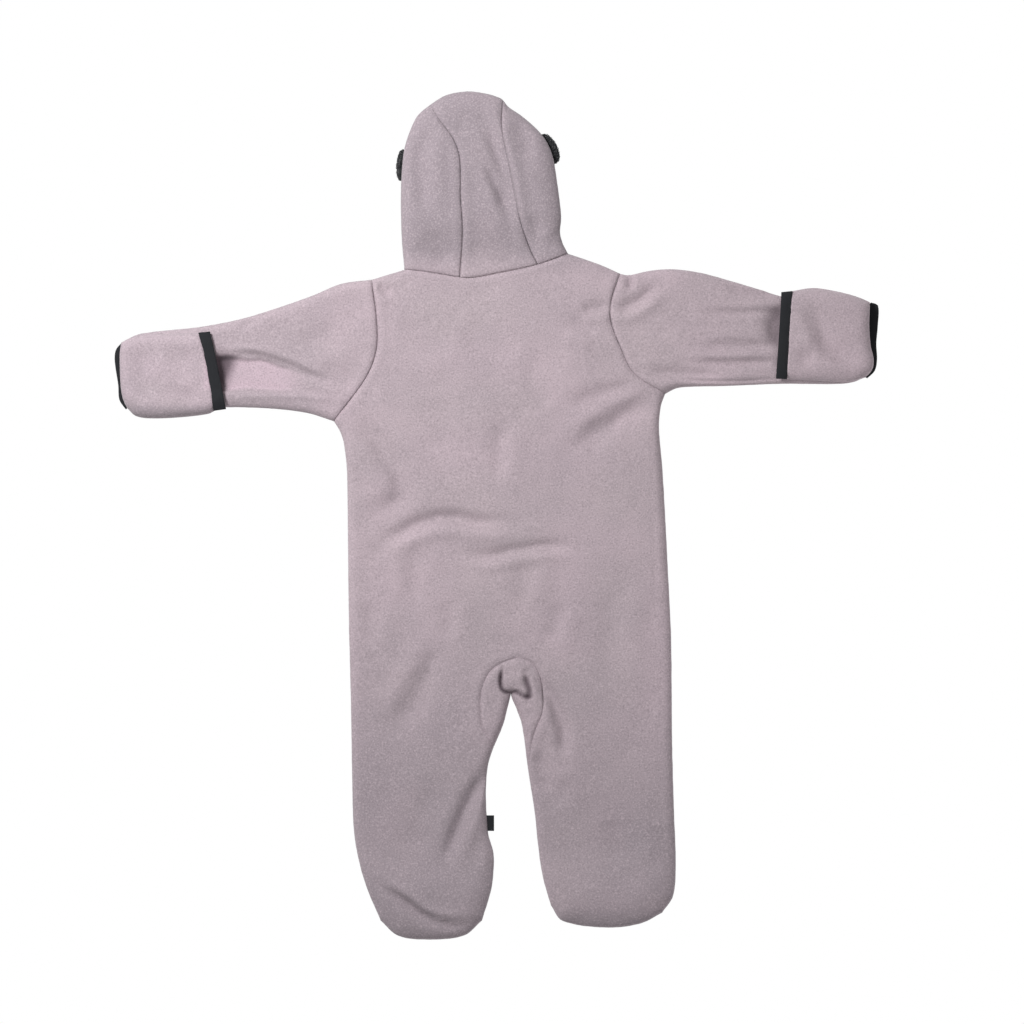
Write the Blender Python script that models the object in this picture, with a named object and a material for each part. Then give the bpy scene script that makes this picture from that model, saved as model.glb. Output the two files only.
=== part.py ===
"""A baby's fleece bunting suit, laid flat with its back side up.

+X is to the right and +Y towards the hood when the suit is seen from above, and
the underside rests on z = 0. Tables and sizes are in millimetres. Every cloth
piece is a wall: a grid of plan points, lifted onto the outside of the suit and
again onto its inside.
"""

import math

import bpy
import numpy as np

MM = 0.001
WALL = 2.6
GAP = 0.3
SEAM_SHIFT = 0.18
SHARPEST_CORNER = 0.15
ON_EDGE = 0.4
SMALL = 1e-6

# Half height of the suit and the reach of its rolled edge, per region.
BODY_HEIGHT = 8.0
BODY_ROLL = 9.0
# Each region: the axis that it changes along, where it starts, where it is full.
REGIONS = (
    # axis, start, full, half height, roll
    ("y", 252.0, 305.0, 12.0, 22.0),
    ("y", -325.0, -385.0, 11.5, 26.0),
    ("x", 175.0, 225.0, 7.6, 10.0),
)

# The outline, in stretches that follow each other round the suit.
OUTLINE = {
    "shoulder_left": ((-92, 245.5), (-108, 240.5), (-124.5, 235.5)),
    "sleeve_left_upper": (
        (-124.5, 235.5), (-154.5, 231.5), (-185.5, 219), (-224.5, 205.5), (-256.5, 196),
        (-295.5, 188.5), (-346.5, 183), (-362, 179.5), (-373, 172),
    ),
    "cuff_left": ((-373, 172), (-374.5, 150), (-373, 130), (-369, 112)),
    "sleeve_left_lower": (
        (-369, 112), (-361, 104.5), (-346.5, 102), (-287.5, 106), (-270.5, 108),
        (-228.5, 107), (-189.5, 102.5), (-162.5, 94),
    ),
    "side_left": (
        (-162.5, 94), (-156.5, 84.5), (-152.5, 72), (-149.5, 45.5), (-148.5, -14.5),
        (-147.5, -104.5), (-145.5, -184.5), (-144, -274.5), (-142.5, -314.5),
        (-137.5, -344.5), (-128.5, -374.5), (-115.5, -404.5),
    ),
    "foot_left": (
        (-115.5, -404.5), (-98.5, -419.5), (-68.5, -423.5), (-32.5, -419.5), (-14.5, -404.5),
    ),
    "inner_left": (
        (-14.5, -404.5), (-5.5, -374.5), (-3, -356.5), (-3, -337), (-8, -319),
        (-9, -306.5), (-10, -296.5), (-10.5, -274.5), (-8.5, -249.5), (-2.5, -230.5),
        (6.5, -209.5), (10.5, -194.5), (14.5, -177.5),
    ),
    "inner_right": (
        (14.5, -177.5), (20.5, -194.5), (25.5, -209.5), (31, -250), (38.5, -299.5),
        (41.5, -329.5), (46.5, -362), (54.5, -389.5),
    ),
    "foot_right": (
        (54.5, -389.5), (65.5, -404.5), (108.5, -411.5), (143.5, -407.5), (165.5, -396.5),
    ),
    "side_right": (
        (165.5, -396.5), (176.5, -379.5), (179, -344.5), (177.5, -299.5), (175.5, -224.5),
        (174.5, -124.5), (171.5, -59.5), (168.5, 0.5), (165.5, 50.5), (162.5, 85.5),
        (164, 108), (168.5, 121.5),
    ),
    "sleeve_right_lower": (
        (168.5, 121.5), (180, 127), (193.5, 128.5), (233.5, 129.5), (283.5, 131.5),
        (343.5, 131.5), (360, 134.5), (369, 141),
    ),
    "cuff_right": ((369, 141), (370.5, 160), (370, 190), (370, 205)),
    "sleeve_right_upper": (
        (370, 205), (360, 212), (343.5, 217), (313.5, 220), (285.5, 219), (263.5, 225.5),
        (233.5, 234.5), (203.5, 242.5), (176.5, 246), (153.5, 244.5), (131.5, 240),
        (123.5, 241.5),
    ),
    "shoulder_right": ((123.5, 241.5), (103.5, 250.5), (71.5, 261.5)),
    "hood_right_edge": (
        (71.5, 261.5), (65.5, 273.5), (63.5, 283.5), (64.5, 295.5), (63.5, 310.5),
        (59.5, 340.5), (56.5, 357.5), (51.5, 370.5), (42.5, 383.5), (24.5, 399.5),
        (12.5, 407.5), (6.5, 414.5),
    ),
    "hood_top_edge": (
        (6.5, 414.5), (3.5, 417), (-11.5, 421.5), (-27.5, 423.5), (-41.5, 422),
        (-53, 418.5), (-66.5, 410),
    ),
    "hood_left_edge": (
        (-66.5, 410), (-78.5, 399.5), (-86.5, 383.5), (-92.5, 363.5), (-95, 335.5),
        (-95.5, 307.5), (-94.5, 275.5), (-92, 245.5),
    ),
}
MOUTHS = ("cuff_left", "cuff_right")

# Seams inside the outline.
NECK_SEAM = (
    (-92, 245.5), (-87, 245), (-78, 244.1), (-58, 241.2), (-36.5, 237.5), (-25.5, 237),
    (-14.5, 238.5), (4, 242.3), (23, 246), (41.5, 250.5), (54, 254.6), (65.5, 259.1),
    (71.5, 261.5),
)
NECK_LEFT_SEAM, NECK_MIDDLE, NECK_RIGHT_SEAM = 4, 6, 9
HOOD_SEAM_LEFT = (
    (-36.5, 237.5), (-33.5, 283.5), (-35.5, 317.5), (-36.5, 357.5), (-43.5, 376.5),
    (-58.5, 396.5), (-66.5, 410),
)
HOOD_SEAM_RIGHT = (
    (41.5, 250.5), (34.5, 264.5), (23.5, 295.5), (13.5, 343.5), (5.5, 386.5), (6.5, 414.5),
)
ARMHOLE_LEFT = (
    (-124.5, 235.5), (-119.5, 196.5), (-119.5, 166.5), (-129.5, 138.5), (-162.5, 94),
)
ARMHOLE_RIGHT = (
    (123.5, 241.5), (114.5, 212.5), (114.5, 193.5), (124.5, 166.5), (137.5, 141.5),
    (168.5, 121.5),
)
GUSSET_TOP = (22.5, -141.5)
GUSSET_LEFT = (
    GUSSET_TOP, (4, -148), (-8, -158), (-15, -175), (-16, -192), (-13.5, -211), (-2.5, -230.5),
)
GUSSET_RIGHT = (
    GUSSET_TOP, (36, -148), (42.5, -158), (46.5, -175), (46, -195), (37, -220), (31, -250),
)
CROTCH = (14.5, -177.5)
GUSSET_MIDDLE = ((21, -148), (19, -158))
GUSSET_INNER_LEFT = ((10.5, -194.5), (6.5, -209.5))
GUSSET_INNER_RIGHT = ((20.5, -194.5), (25.5, -209.5))

# Places of the columns across half the back, of the rows down the armhole and of
# the rows down the torso: height of the row at the left side and at the right side.
HALF_COLUMNS = (0, 0.02, 0.07, 0.25, 0.45, 0.65, 0.82, 0.94, 1)
SHOULDER_COLUMNS = (0, 0.25, 1)
ARMHOLE_ROWS = (0, 0.02, 0.07, 0.22, 0.38, 0.54, 0.7, 0.84, 0.94, 0.985, 1)
TORSO_ROWS = (
    # left, right
    (60, 78), (30, 40), (4, 6), (-20, -20), (-45, -45), (-70, -70), (-95, -95), (-119, -119),
    (-141.5, -141.5),
)
# The rows down each leg below the gusset: height at the outer and at the inner edge.
LEG_ROWS_LEFT = (
    (-250, -249.5), (-275, -274.5), (-298, -296.5), (-318, -318.5), (-340, -334.5),
    (-360, -356.5), (-380, -374.5), (-393, -390),
)
LEG_ROWS_RIGHT = (
    (-262, -268), (-282, -284), (-302, -299.5), (-320, -315), (-338, -329.5), (-355, -346),
    (-371, -362), (-384, -376),
)
ZIP_END_ROW = 10
# The pieces of the right front's top edge that get a column more.
CLOSER_PIECES = (2, 3)
STRIP_COLUMNS = (0, 0.5, 1)
HOOD_ROWS = (0, 0.08, 0.18, 0.32, 0.46, 0.6, 0.74, 0.87, 0.95, 1)
CROWN_ROWS = (0, 0.06, 0.15, 0.3, 0.5, 0.75, 1)
SLEEVE_COLUMNS = (0, 0.07, 0.16, 0.25, 0.35, 0.45, 0.56, 0.68, 0.79, 0.89, 0.96, 1)

# The zip: the line that it follows, from the neck to the inner left leg.
ZIP_LINE = (
    (-14.5, 238.5), (-6, 170), (2, 110), (8, 20), (9, -45), (5, -80), (-8, -112), (-25, -141.5),
    (-34, -165), (-38, -192), (-37, -215), (-33, -240), (-25, -266), (-16, -292),
)
ZIP_HALF_WIDTH = 6.5
ZIP_TAPE_WIDTH = 6.0
ZIP_TAPE_THICK = 1.1
ZIP_TAPE_LIFT = 0.9
ZIP_CHANNEL = 3.2
ZIP_CHANNEL_FLAT = 9.0
ZIP_CHANNEL_REACH = 26.0
ZIP_TOP = 228.0

# The face opening, an ellipse in the hood's underside, and its binding.
FACE_CENTRE = (-13.5, 327.5)
FACE_HALF_WIDTH = 44.0
FACE_HALF_HEIGHT = 60.0
FACE_LEFT_END = math.radians(125)
FACE_RIGHT_END = math.radians(70)
CHIN_GAP = 1.0
BINDING_WIDTH = 9.0
BINDING_THICK = 3.2

# The mitten flaps: upper edge, hand end, lower edge and the two sides of the band.
FLAPS = {
    "left": {
        "upper": ((-296.5, 182.5), (-346.5, 180.5), (-362, 178), (-371, 172.5)),
        "end": ((-371, 172.5), (-375, 163), (-374.5, 145), (-373, 130), (-369.5, 113.5)),
        "lower": (
            (-281.5, 104.5), (-287.5, 101.5), (-316.5, 97.5), (-346.5, 97), (-360.5, 101.5),
            (-369.5, 113.5),
        ),
        "seam": ((-296.5, 182.5), (-289, 150), (-281.5, 104.5)),
        "mouth": ((-286.5, 183.5), (-279, 150), (-270.5, 106)),
    },
    "right": {
        "upper": ((294.5, 224), (313, 227), (325, 226.5), (352.5, 220.5), (366, 216.5), (371, 212)),
        "end": ((371, 212), (370.5, 190), (370.5, 165), (373, 150), (370, 140)),
        "lower": ((289, 136), (320, 134.5), (343.5, 133.5), (360, 135.5), (370, 140)),
        "seam": ((294.5, 224), (292, 180), (289, 136)),
        "mouth": ((285, 223), (282.5, 180), (279.5, 136.5)),
    },
}
FLAP_ROWS = (0, 0.04, 0.12, 0.3, 0.5, 0.7, 0.88, 0.96, 1)
FLAP_COLUMNS = (0, 0.2, 0.45, 0.7, 0.88, 0.96, 1)
FLAP_AIR = 4.8
FLAP_AIR_REACH = 15.0
FLAP_CLEAR = 0.4
FLAP_SPREAD = 6.0

# The outer edge of the binding on the palm side of each sleeve's end.
CUFF_EDGES = {
    "left": (
        (-373.5, 176), (-381, 170), (-382.5, 163), (-380.5, 140), (-378, 118), (-371.5, 105.5),
    ),
    "right": (
        (369.5, 135), (378, 141), (380, 150), (379.5, 175), (381, 196), (384, 207), (373, 214),
    ),
}

# The ears lie under the rolled edge of the hood: middle, direction out, size.
EARS = {
    # x, y, outward angle in degrees, half length, reach out, reach in
    "left": (-94.5, 350.0, 176.0, 16.0, 5.5, 10.0),
    "right": (54.3, 364.0, 25.0, 17.0, 8.5, 10.0),
}
EAR_SPOKES = 14
EAR_RINGS = 3
EAR_MIDDLE = 6.0
EAR_HALF_THICK = 5.0
EAR_CLEAR = 1.0
EAR_TUCK = 1.5
EAR_LEAST = 0.4

# The largest folds of the back, sleeves and hood, as soft troughs.
FOLDS = (
    # x, y, end x, end y, half width, depth
    (-116, -29, -28, -3, 17, 2.6),
    (-28, -3, 18, -3, 14, 1.8),
    (-19, -41, 86, -30, 15, 1.8),
    (-140, 103, -96, 34, 16, 2.6),
    (158, 110, 76, 66, 15, 2.4),
    (-66, -152, -96, -216, 16, 2.2),
    (-14, -254, -47, -326, 15, 3.0),
    (45, -166, 68, -226, 12, 2.8),
    (38, -236, 54, -282, 14, 2.2),
    (-72, 385, -75, 300, 15, 3.0),
    (-15, 400, 13, 315, 14, 2.6),
    (-96, -380, -36, -412, 10, 3.2),
)

# The slider at the closed zip's top, its bail and the pull tab.
BAIL_HEIGHT = 1.35
BAIL_BAR = 0.65
BAIL_AHEAD = 1.0
PULL_RING_OUTER = 1.1
PULL_RING_INNER = 0.75
PULL_RING_WIDTH = 2.4
PULL_WIDTH = 5.0
PULL_LENGTH = 20.0
PULL_THICK = 0.9
PULL_NECK_START = 0.9
PULL_NECK_LENGTH = 2.4
PULL_TONGUE_START = 3.0
RING_SIDES = 16
SLIDER_WIDTH = 8.0
SLIDER_LENGTH = 11.0
SLIDER_WING = 0.9
SLIDER_BELOW_TOP = 2.5
DIVIDER_SIZE = 2.2
DIVIDER_ABOVE_TOP = 1.6
POST_WIDTH = 0.8
POST_LENGTH = 1.6
POST_BELOW_BAR = 0.7
TAB_SIZE = (5.8, 15.5, 3.4)
TAB_MIDDLE = (-5.3, -307.3, 8.3)
TAB_BEVEL = 0.8
BEVEL_SEGMENTS = 2
SMOOTH_ANGLE = math.radians(50)

# Colour, roughness and metallic value of each material.
MATERIALS = {
    "fleece": ((0.46, 0.40, 0.43), 0.95, 0.0),
    "fleece_smooth": ((0.52, 0.43, 0.47), 0.95, 0.0),
    "binding": ((0.03, 0.032, 0.038), 0.8, 0.0),
    "pile": ((0.025, 0.027, 0.03), 1.0, 0.0),
    "zip": ((0.03, 0.032, 0.038), 0.6, 0.0),
    "metal": ((0.35, 0.35, 0.36), 0.35, 1.0),
}


def as_points(table):
    return np.array(table, float)


def lengths(points):
    """How far along the line each of its points lies, from 0 to 1."""
    steps = np.linalg.norm(np.diff(points, axis=0), axis=1)
    far = np.concatenate(([0.0], np.cumsum(steps)))
    return far / far[-1]


def along(table, fractions):
    """Points of the line at these fractions of its length."""
    points = as_points(table)
    far = lengths(points)
    return np.stack([np.interp(fractions, far, points[:, k]) for k in (0, 1)], axis=1)


def between(table, heights):
    """Points of a line that runs down or up, at these heights."""
    points = as_points(table)
    if points[0, 1] > points[-1, 1]:
        points = points[::-1]
    across = np.interp(heights, points[:, 1], points[:, 0])
    return np.stack([across, np.array(heights, float)], axis=1)


def joined(*lines):
    """One line from several that follow each other, with no point twice."""
    points = [as_points(lines[0])]
    for line in lines[1:]:
        line = as_points(line)
        if np.linalg.norm(line[0] - points[-1][-1]) < SMALL:
            line = line[1:]
        points.append(line)
    return np.concatenate(points)


def straight(start, end, fractions):
    fractions = np.array(fractions, float)[:, None]
    return as_points(start) * (1 - fractions) + as_points(end) * fractions


def patch(top, bottom, left, right):
    """A grid of plan points that fills the space inside its four edges."""
    u = ((lengths(top) + lengths(bottom)) / 2)[None, :, None]
    v = ((lengths(left) + lengths(right)) / 2)[:, None, None]
    rows = (1 - v) * top[None] + v * bottom[None]
    columns = (1 - u) * left[:, None] + u * right[:, None]
    corners = (
        (1 - u) * (1 - v) * top[0]
        + u * (1 - v) * top[-1]
        + (1 - u) * v * bottom[0]
        + u * v * bottom[-1]
    )
    grid = rows + columns - corners
    grid[0], grid[-1], grid[:, 0], grid[:, -1] = top, bottom, left, right
    return grid


def edges_of(stretches):
    """Start, end and inward direction of each straight piece of these stretches."""
    starts, ends = [], []
    for table in stretches:
        points = as_points(table)
        starts.append(points[:-1])
        ends.append(points[1:])
    starts, ends = np.concatenate(starts), np.concatenate(ends)
    step = ends - starts
    inward = np.stack([-step[:, 1], step[:, 0]], axis=1)
    return starts, ends, inward / np.linalg.norm(inward, axis=1)[:, None]


# The stretches run anticlockwise round the suit, so inward is to their left.
BODY_EDGES = edges_of([table for name, table in OUTLINE.items() if name not in MOUTHS])


def to_edge(point, edges=BODY_EDGES):
    """Distance from the outline, and the direction away from it."""
    starts, ends, inward = edges
    step = ends - starts
    share = ((point - starts) * step).sum(axis=1) / (step**2).sum(axis=1)
    nearest = starts + step * np.clip(share, 0, 1)[:, None]
    away = point - nearest
    far = np.linalg.norm(away, axis=1)
    least = far.min()
    close = far < least + ON_EDGE / 10
    if least < ON_EDGE:
        direction = inward[close].sum(axis=0)
    else:
        direction = away[far.argmin()]
    return least, direction / np.linalg.norm(direction)


def ease(value):
    value = min(max(value, 0.0), 1.0)
    return value * value * (3 - 2 * value)


def fullness(point):
    """Half height of the suit and reach of its rolled edge at this point."""
    height, roll = BODY_HEIGHT, BODY_ROLL
    for axis, start, full, region_height, region_roll in REGIONS:
        place = point[1] if axis == "y" else abs(point[0])
        share = ease((place - start) / (full - start))
        height += (region_height - height) * share
        roll += (region_roll - roll) * share
    return height, roll


def to_line(point, start, end):
    step = as_points(end) - as_points(start)
    share = np.clip(((point - start) * step).sum() / (step**2).sum(), 0, 1)
    return np.linalg.norm(point - start - step * share)


def fold_depth(point):
    depth = 0.0
    for x, y, end_x, end_y, half_width, deep in FOLDS:
        far = to_line(point, (x, y), (end_x, end_y))
        depth += deep * math.exp(-((far / half_width * 1.5) ** 2))
    return depth


def channel_lift(point):
    """How far the front is raised beside the zip, so that the slider has room."""
    pairs = zip(ZIP_LINE[:-1], ZIP_LINE[1:])
    far = min(to_line(point, start, end) for start, end in pairs)
    fade = (far - ZIP_CHANNEL_FLAT) / (ZIP_CHANNEL_REACH - ZIP_CHANNEL_FLAT)
    return ZIP_CHANNEL * (1 - ease(fade))


def lift(point, side, depth=0.0):
    """The point on the suit's outside, or this deep inside it. side is 1 for the
    back, which is up, and -1 for the front, which is down."""
    far, inward = to_edge(point)
    height, roll = fullness(point)
    turn = 1.0 if far < ON_EDGE else max(0.0, 1 - far / roll)
    rise = math.sqrt(1 - turn * turn)
    if side > 0:
        outside = height + (height - fold_depth(point)) * rise
    else:
        outside = height - (height - channel_lift(point)) * rise
    plan = point + inward * depth * turn
    return np.array([plan[0], plan[1], outside - side * depth * rise])


def flap_lift(side_name):
    """Lifts plan points onto a mitten flap, which lies over its sleeve."""
    shape = FLAPS[side_name]
    free = edges_of([shape["upper"], shape["end"], shape["lower"]])

    def lifted(point, side, depth=0.0):
        height, _ = fullness(point)
        far = signed_distance(point)
        turn = max(0.0, 1 - max(0.0, far + FLAP_SPREAD) / (BODY_ROLL + FLAP_SPREAD))
        base = height + height * math.sqrt(1 - turn * turn)
        air = max(0.0, 1 - to_edge(point, free)[0] / FLAP_AIR_REACH)
        top = base + FLAP_CLEAR + WALL + FLAP_AIR * math.sqrt(1 - air * air)
        return np.array([point[0], point[1], top - depth])

    return lifted


def signed_distance(point):
    """Distance from the outline, below zero outside it."""
    starts, ends, inward = BODY_EDGES
    step = ends - starts
    share = ((point - starts) * step).sum(axis=1) / (step**2).sum(axis=1)
    away = point - starts - step * np.clip(share, 0, 1)[:, None]
    far = np.linalg.norm(away, axis=1)
    nearest = far.argmin()
    return far[nearest] * (1 if (away[nearest] * inward[nearest]).sum() >= 0 else -1)


def merged(patches, fold_at_edge):
    """Plan points, their sides and the faces of several patches as one sheet."""
    index, points, sides, faces = {}, [], [], []

    def number(point, side):
        layer = 0 if fold_at_edge and to_edge(point)[0] < ON_EDGE else side
        key = (round(point[0], 2), round(point[1], 2), layer)
        if key not in index:
            index[key] = len(points)
            points.append(point)
            sides.append(side)
        return index[key]

    for grid, side in patches:
        numbers = [[number(point, side) for point in row] for row in grid]
        for j in range(len(grid) - 1):
            for i in range(len(grid[0]) - 1):
                ring = [numbers[j][i], numbers[j][i + 1], numbers[j + 1][i + 1], numbers[j + 1][i]]
                ring = [n for k, n in enumerate(ring) if n != ring[k - 1]]
                if len(set(ring)) < 3:
                    continue
                corners = [points[n] for n in ring]
                area = sum(
                    a[0] * b[1] - b[0] * a[1] for a, b in zip(corners, corners[1:] + corners[:1])
                )
                faces.append(ring if area * side > 0 else ring[::-1])
    return points, sides, faces


def rim_of(faces):
    """The edges that only one face has, in that face's order, and that face."""
    owner = {(face[k - 1], face[k]): face for face in faces for k in range(len(face))}
    return [(a, b, face) for (a, b), face in owner.items() if (b, a) not in owner]


def seam_shifts(points, faces, sides, lifted):
    """How far each point moves so that the rim stands half a gap off its seam."""
    pull = {}
    raised = [lifted(point, side) for point, side in zip(points, sides)]
    for start, end, face in rim_of(faces):
        step = raised[end] - raised[start]
        inside = np.mean([raised[n] for n in face], axis=0) - raised[start]
        inside = inside - step * (inside * step).sum() / (step**2).sum()
        for n in (start, end):
            pull.setdefault(n, []).append(inside / np.linalg.norm(inside))
    shifts = np.zeros((len(points), 3))
    for n, ways in pull.items():
        way = np.sum(ways, axis=0)
        if np.linalg.norm(way) > SMALL:
            way /= np.linalg.norm(way)
            slant = max(SHARPEST_CORNER, min((way * one).sum() for one in ways))
            shifts[n] = way * SEAM_SHIFT / slant
    return shifts


def material(name):
    made = bpy.data.materials.get(name)
    if made:
        return made
    colour, roughness, metallic = MATERIALS[name]
    made = bpy.data.materials.new(name)
    made.use_nodes = True
    shader = made.node_tree.nodes["Principled BSDF"]
    shader.inputs["Base Color"].default_value = (*colour, 1)
    shader.inputs["Roughness"].default_value = roughness
    shader.inputs["Metallic"].default_value = metallic
    made.diffuse_color = (*colour, 1)
    return made


def add_object(name, points, faces, slot, origin=(0, 0, 0)):
    """A mesh object from points in millimetres, with its origin where asked."""
    mesh = bpy.data.meshes.new(name)
    middle = np.array(origin, float)
    mesh.from_pydata([tuple((np.array(point) - middle) * MM) for point in points], [], faces)
    mesh.materials.append(material(slot))
    made = bpy.data.objects.new(name, mesh)
    made.location = tuple(middle * MM)
    bpy.context.scene.collection.objects.link(made)
    mesh.shade_smooth()
    mesh.set_sharp_from_angle(angle=SMOOTH_ANGLE)
    return made


def cloth(name, patches, slot="fleece", stacked=False, lifted=lift, thick=WALL):
    """A closed wall of cloth over these patches of plan points."""
    points, sides, faces = merged(patches, fold_at_edge=not stacked)
    shifts = seam_shifts(points, faces, sides, lifted)
    outer = [lifted(p, s) + shift for p, s, shift in zip(points, sides, shifts)]
    inner = [lifted(p, s, thick) + shift for p, s, shift in zip(points, sides, shifts)]
    count = len(points)
    walls = [list(face) for face in faces]
    walls += [[n + count for n in reversed(face)] for face in faces]
    for start, end, _ in rim_of(faces):
        if tuple(points[start]) < tuple(points[end]):
            walls += [[end, start, start + count], [end, start + count, end + count]]
        else:
            walls += [[end, start, end + count], [start, start + count, end + count]]
    return add_object(name, outer + inner, walls, slot)


def shoulder_line():
    """The top edge of the back, from one armhole to the other."""
    left = along(OUTLINE["shoulder_left"][::-1], SHOULDER_COLUMNS)
    right = along(OUTLINE["shoulder_right"][::-1], 1 - np.array(SHOULDER_COLUMNS[::-1]))
    return left, as_points(NECK_SEAM), right


def half_row(start, end):
    return straight(start, end, HALF_COLUMNS)


def full_row(left, right, middle=None):
    middle = (as_points(left) + as_points(right)) / 2 if middle is None else middle
    return joined(half_row(left, middle), half_row(right, middle)[::-1])


def armhole(side):
    return along(ARMHOLE_LEFT if side == "left" else ARMHOLE_RIGHT, ARMHOLE_ROWS)


def side_points(side, heights):
    return between(OUTLINE["side_" + side], heights)


def torso_sides():
    """The points of the torso's two sides, from the armpits to the gusset's top."""
    left = joined([OUTLINE["side_left"][0]], side_points("left", [row[0] for row in TORSO_ROWS]))
    right = joined(
        [OUTLINE["side_right"][-1]], side_points("right", [row[1] for row in TORSO_ROWS])
    )
    return left, right


def leg_edges(side):
    """Outer edge, inner edge and sole of one leg, down from the gusset's top."""
    gusset = as_points(GUSSET_LEFT if side == "left" else GUSSET_RIGHT)
    rows = LEG_ROWS_LEFT if side == "left" else LEG_ROWS_RIGHT
    foot = as_points(OUTLINE["foot_" + side])
    outer_corner, inner_corner = (foot[0], foot[-1]) if side == "left" else (foot[-1], foot[0])
    outer = joined(
        side_points(side, list(gusset[:, 1]) + [row[0] for row in rows]), [outer_corner]
    )
    inner = joined(
        gusset, between(OUTLINE["inner_" + side], [row[1] for row in rows]), [inner_corner]
    )
    if side == "left":
        sole = along(foot, HALF_COLUMNS)
    else:
        sole = along(foot[::-1], HALF_COLUMNS)
    return outer, inner, sole


def leg_patch(side):
    outer, inner, sole = leg_edges(side)
    return patch(half_row(outer[0], inner[0]), sole, outer, inner)


def yoke_patch():
    left, neck, right = shoulder_line()
    bottom = full_row(ARMHOLE_LEFT[-1], ARMHOLE_RIGHT[-1])
    return patch(joined(left, neck, right), bottom, armhole("left"), armhole("right"))


def torso_patch():
    left, right = torso_sides()
    top = full_row(left[0], right[0])
    bottom = full_row(left[-1], right[-1], as_points(GUSSET_TOP))
    return patch(top, bottom, left, right)


def make_back():
    patches = [(yoke_patch(), 1), (torso_patch(), 1)]
    patches += [(leg_patch(side), 1) for side in ("left", "right")]
    cloth("back", patches, stacked=True)


def zip_edge(offset, heights):
    """The line beside the zip, this far to its right, at these heights."""
    line = between(ZIP_LINE, heights)
    ahead = between(ZIP_LINE, [height - 1 for height in heights])
    way = line - ahead
    way /= np.linalg.norm(way, axis=1)[:, None]
    return line + np.stack([way[:, 1], -way[:, 0]], axis=1) * offset


def zip_rows():
    """Heights at the zip of the yoke's rows and of the torso's rows."""
    top = NECK_SEAM[NECK_MIDDLE][1]
    left, right = torso_sides()
    armpit = (left[0][1] + right[0][1]) / 2
    yoke = top + (armpit - top) * np.array(ARMHOLE_ROWS)
    torso = [armpit] + [(row[0] + row[1]) / 2 for row in TORSO_ROWS]
    return yoke, np.array(torso)


def leg_zip_rows():
    """Heights at the zip of the leg's rows, down to the zip's end."""
    return np.linspace(GUSSET_TOP[1], ZIP_LINE[-1][1], ZIP_END_ROW)


def neck_at(x):
    points = as_points(NECK_SEAM)
    return np.array([x, np.interp(x, points[:, 0], points[:, 1])])


def make_front_left():
    """The wearer's left front, from the side seam to the zip."""
    shoulder, neck, _ = shoulder_line()
    yoke, torso = zip_rows()
    zip_x = NECK_SEAM[NECK_MIDDLE][0] - ZIP_HALF_WIDTH
    top = joined(shoulder, neck[:NECK_MIDDLE], [neck_at(zip_x)])
    left, _ = torso_sides()
    yoke_edge = zip_edge(-ZIP_HALF_WIDTH, yoke)
    yoke_edge[0] = top[-1]
    torso_edge = zip_edge(-ZIP_HALF_WIDTH, torso)
    outer, inner, sole = leg_edges("left")
    leg_edge = inner.copy()
    leg_edge[:ZIP_END_ROW] = zip_edge(-ZIP_HALF_WIDTH, leg_zip_rows())
    middle = half_row(left[0], yoke_edge[-1])
    waist = half_row(left[-1], torso_edge[-1])
    patches = [
        (patch(top, middle, armhole("left"), yoke_edge), -1),
        (patch(middle, waist, left, torso_edge), -1),
        (patch(waist, sole, outer, leg_edge), -1),
    ]
    cloth("front_left", patches, stacked=True)


def with_middles(line, first, last):
    """The line with a point more in the middle of each piece from first to last."""
    points = []
    for k, point in enumerate(line[:-1]):
        points.append(point)
        if first <= k <= last:
            points.append((point + line[k + 1]) / 2)
    return np.array([*points, line[-1]])


def make_front_right():
    """The wearer's right front, with the strip inside the left leg."""
    _, neck, shoulder = shoulder_line()
    yoke, torso = zip_rows()
    zip_x = NECK_SEAM[NECK_MIDDLE][0] + ZIP_HALF_WIDTH
    top = with_middles(joined([neck_at(zip_x)], neck[NECK_MIDDLE + 1:], shoulder), *CLOSER_PIECES)
    _, right = torso_sides()
    yoke_edge = zip_edge(ZIP_HALF_WIDTH, yoke)
    yoke_edge[0] = top[0]
    torso_edge = zip_edge(ZIP_HALF_WIDTH, torso)
    strip_top = straight(torso_edge[-1], GUSSET_TOP, STRIP_COLUMNS)
    waist = joined(strip_top, half_row(right[-1], GUSSET_TOP)[::-1])
    middle = straight(yoke_edge[-1], right[0], lengths(waist))
    _, inner, _ = leg_edges("left")
    strip_edge = zip_edge(ZIP_HALF_WIDTH, leg_zip_rows())
    strip_inner = inner[:ZIP_END_ROW]
    strip_end = straight(strip_edge[-1], strip_inner[-1], STRIP_COLUMNS)
    patches = [
        (patch(top, middle, yoke_edge, armhole("right")), -1),
        (patch(middle, waist, torso_edge, right), -1),
        (patch(strip_top, strip_end, strip_edge, strip_inner), -1),
        (leg_patch("right"), -1),
    ]
    cloth("front_right", patches, stacked=True)


def make_gusset():
    """The diamond between the legs, seen from the back and from the front."""
    inner = {
        "left": joined(
            [GUSSET_TOP], GUSSET_MIDDLE, [CROTCH], GUSSET_INNER_LEFT, [GUSSET_LEFT[-1]]
        ),
        "right": joined(
            [GUSSET_TOP], GUSSET_MIDDLE, [CROTCH], GUSSET_INNER_RIGHT, [GUSSET_RIGHT[-1]]
        ),
    }
    seam = {"left": as_points(GUSSET_LEFT), "right": as_points(GUSSET_RIGHT)}
    patches = []
    for side in ("left", "right"):
        rows = [straight(a, b, STRIP_COLUMNS) for a, b in zip(seam[side], inner[side])]
        patches += [(np.array(rows), 1), (np.array(rows), -1)]
    cloth("gusset", patches)


def cuff_line(side):
    """The end of a sleeve, from its upper edge to its lower edge."""
    return OUTLINE["cuff_left"] if side == "left" else OUTLINE["cuff_right"][::-1]


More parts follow.
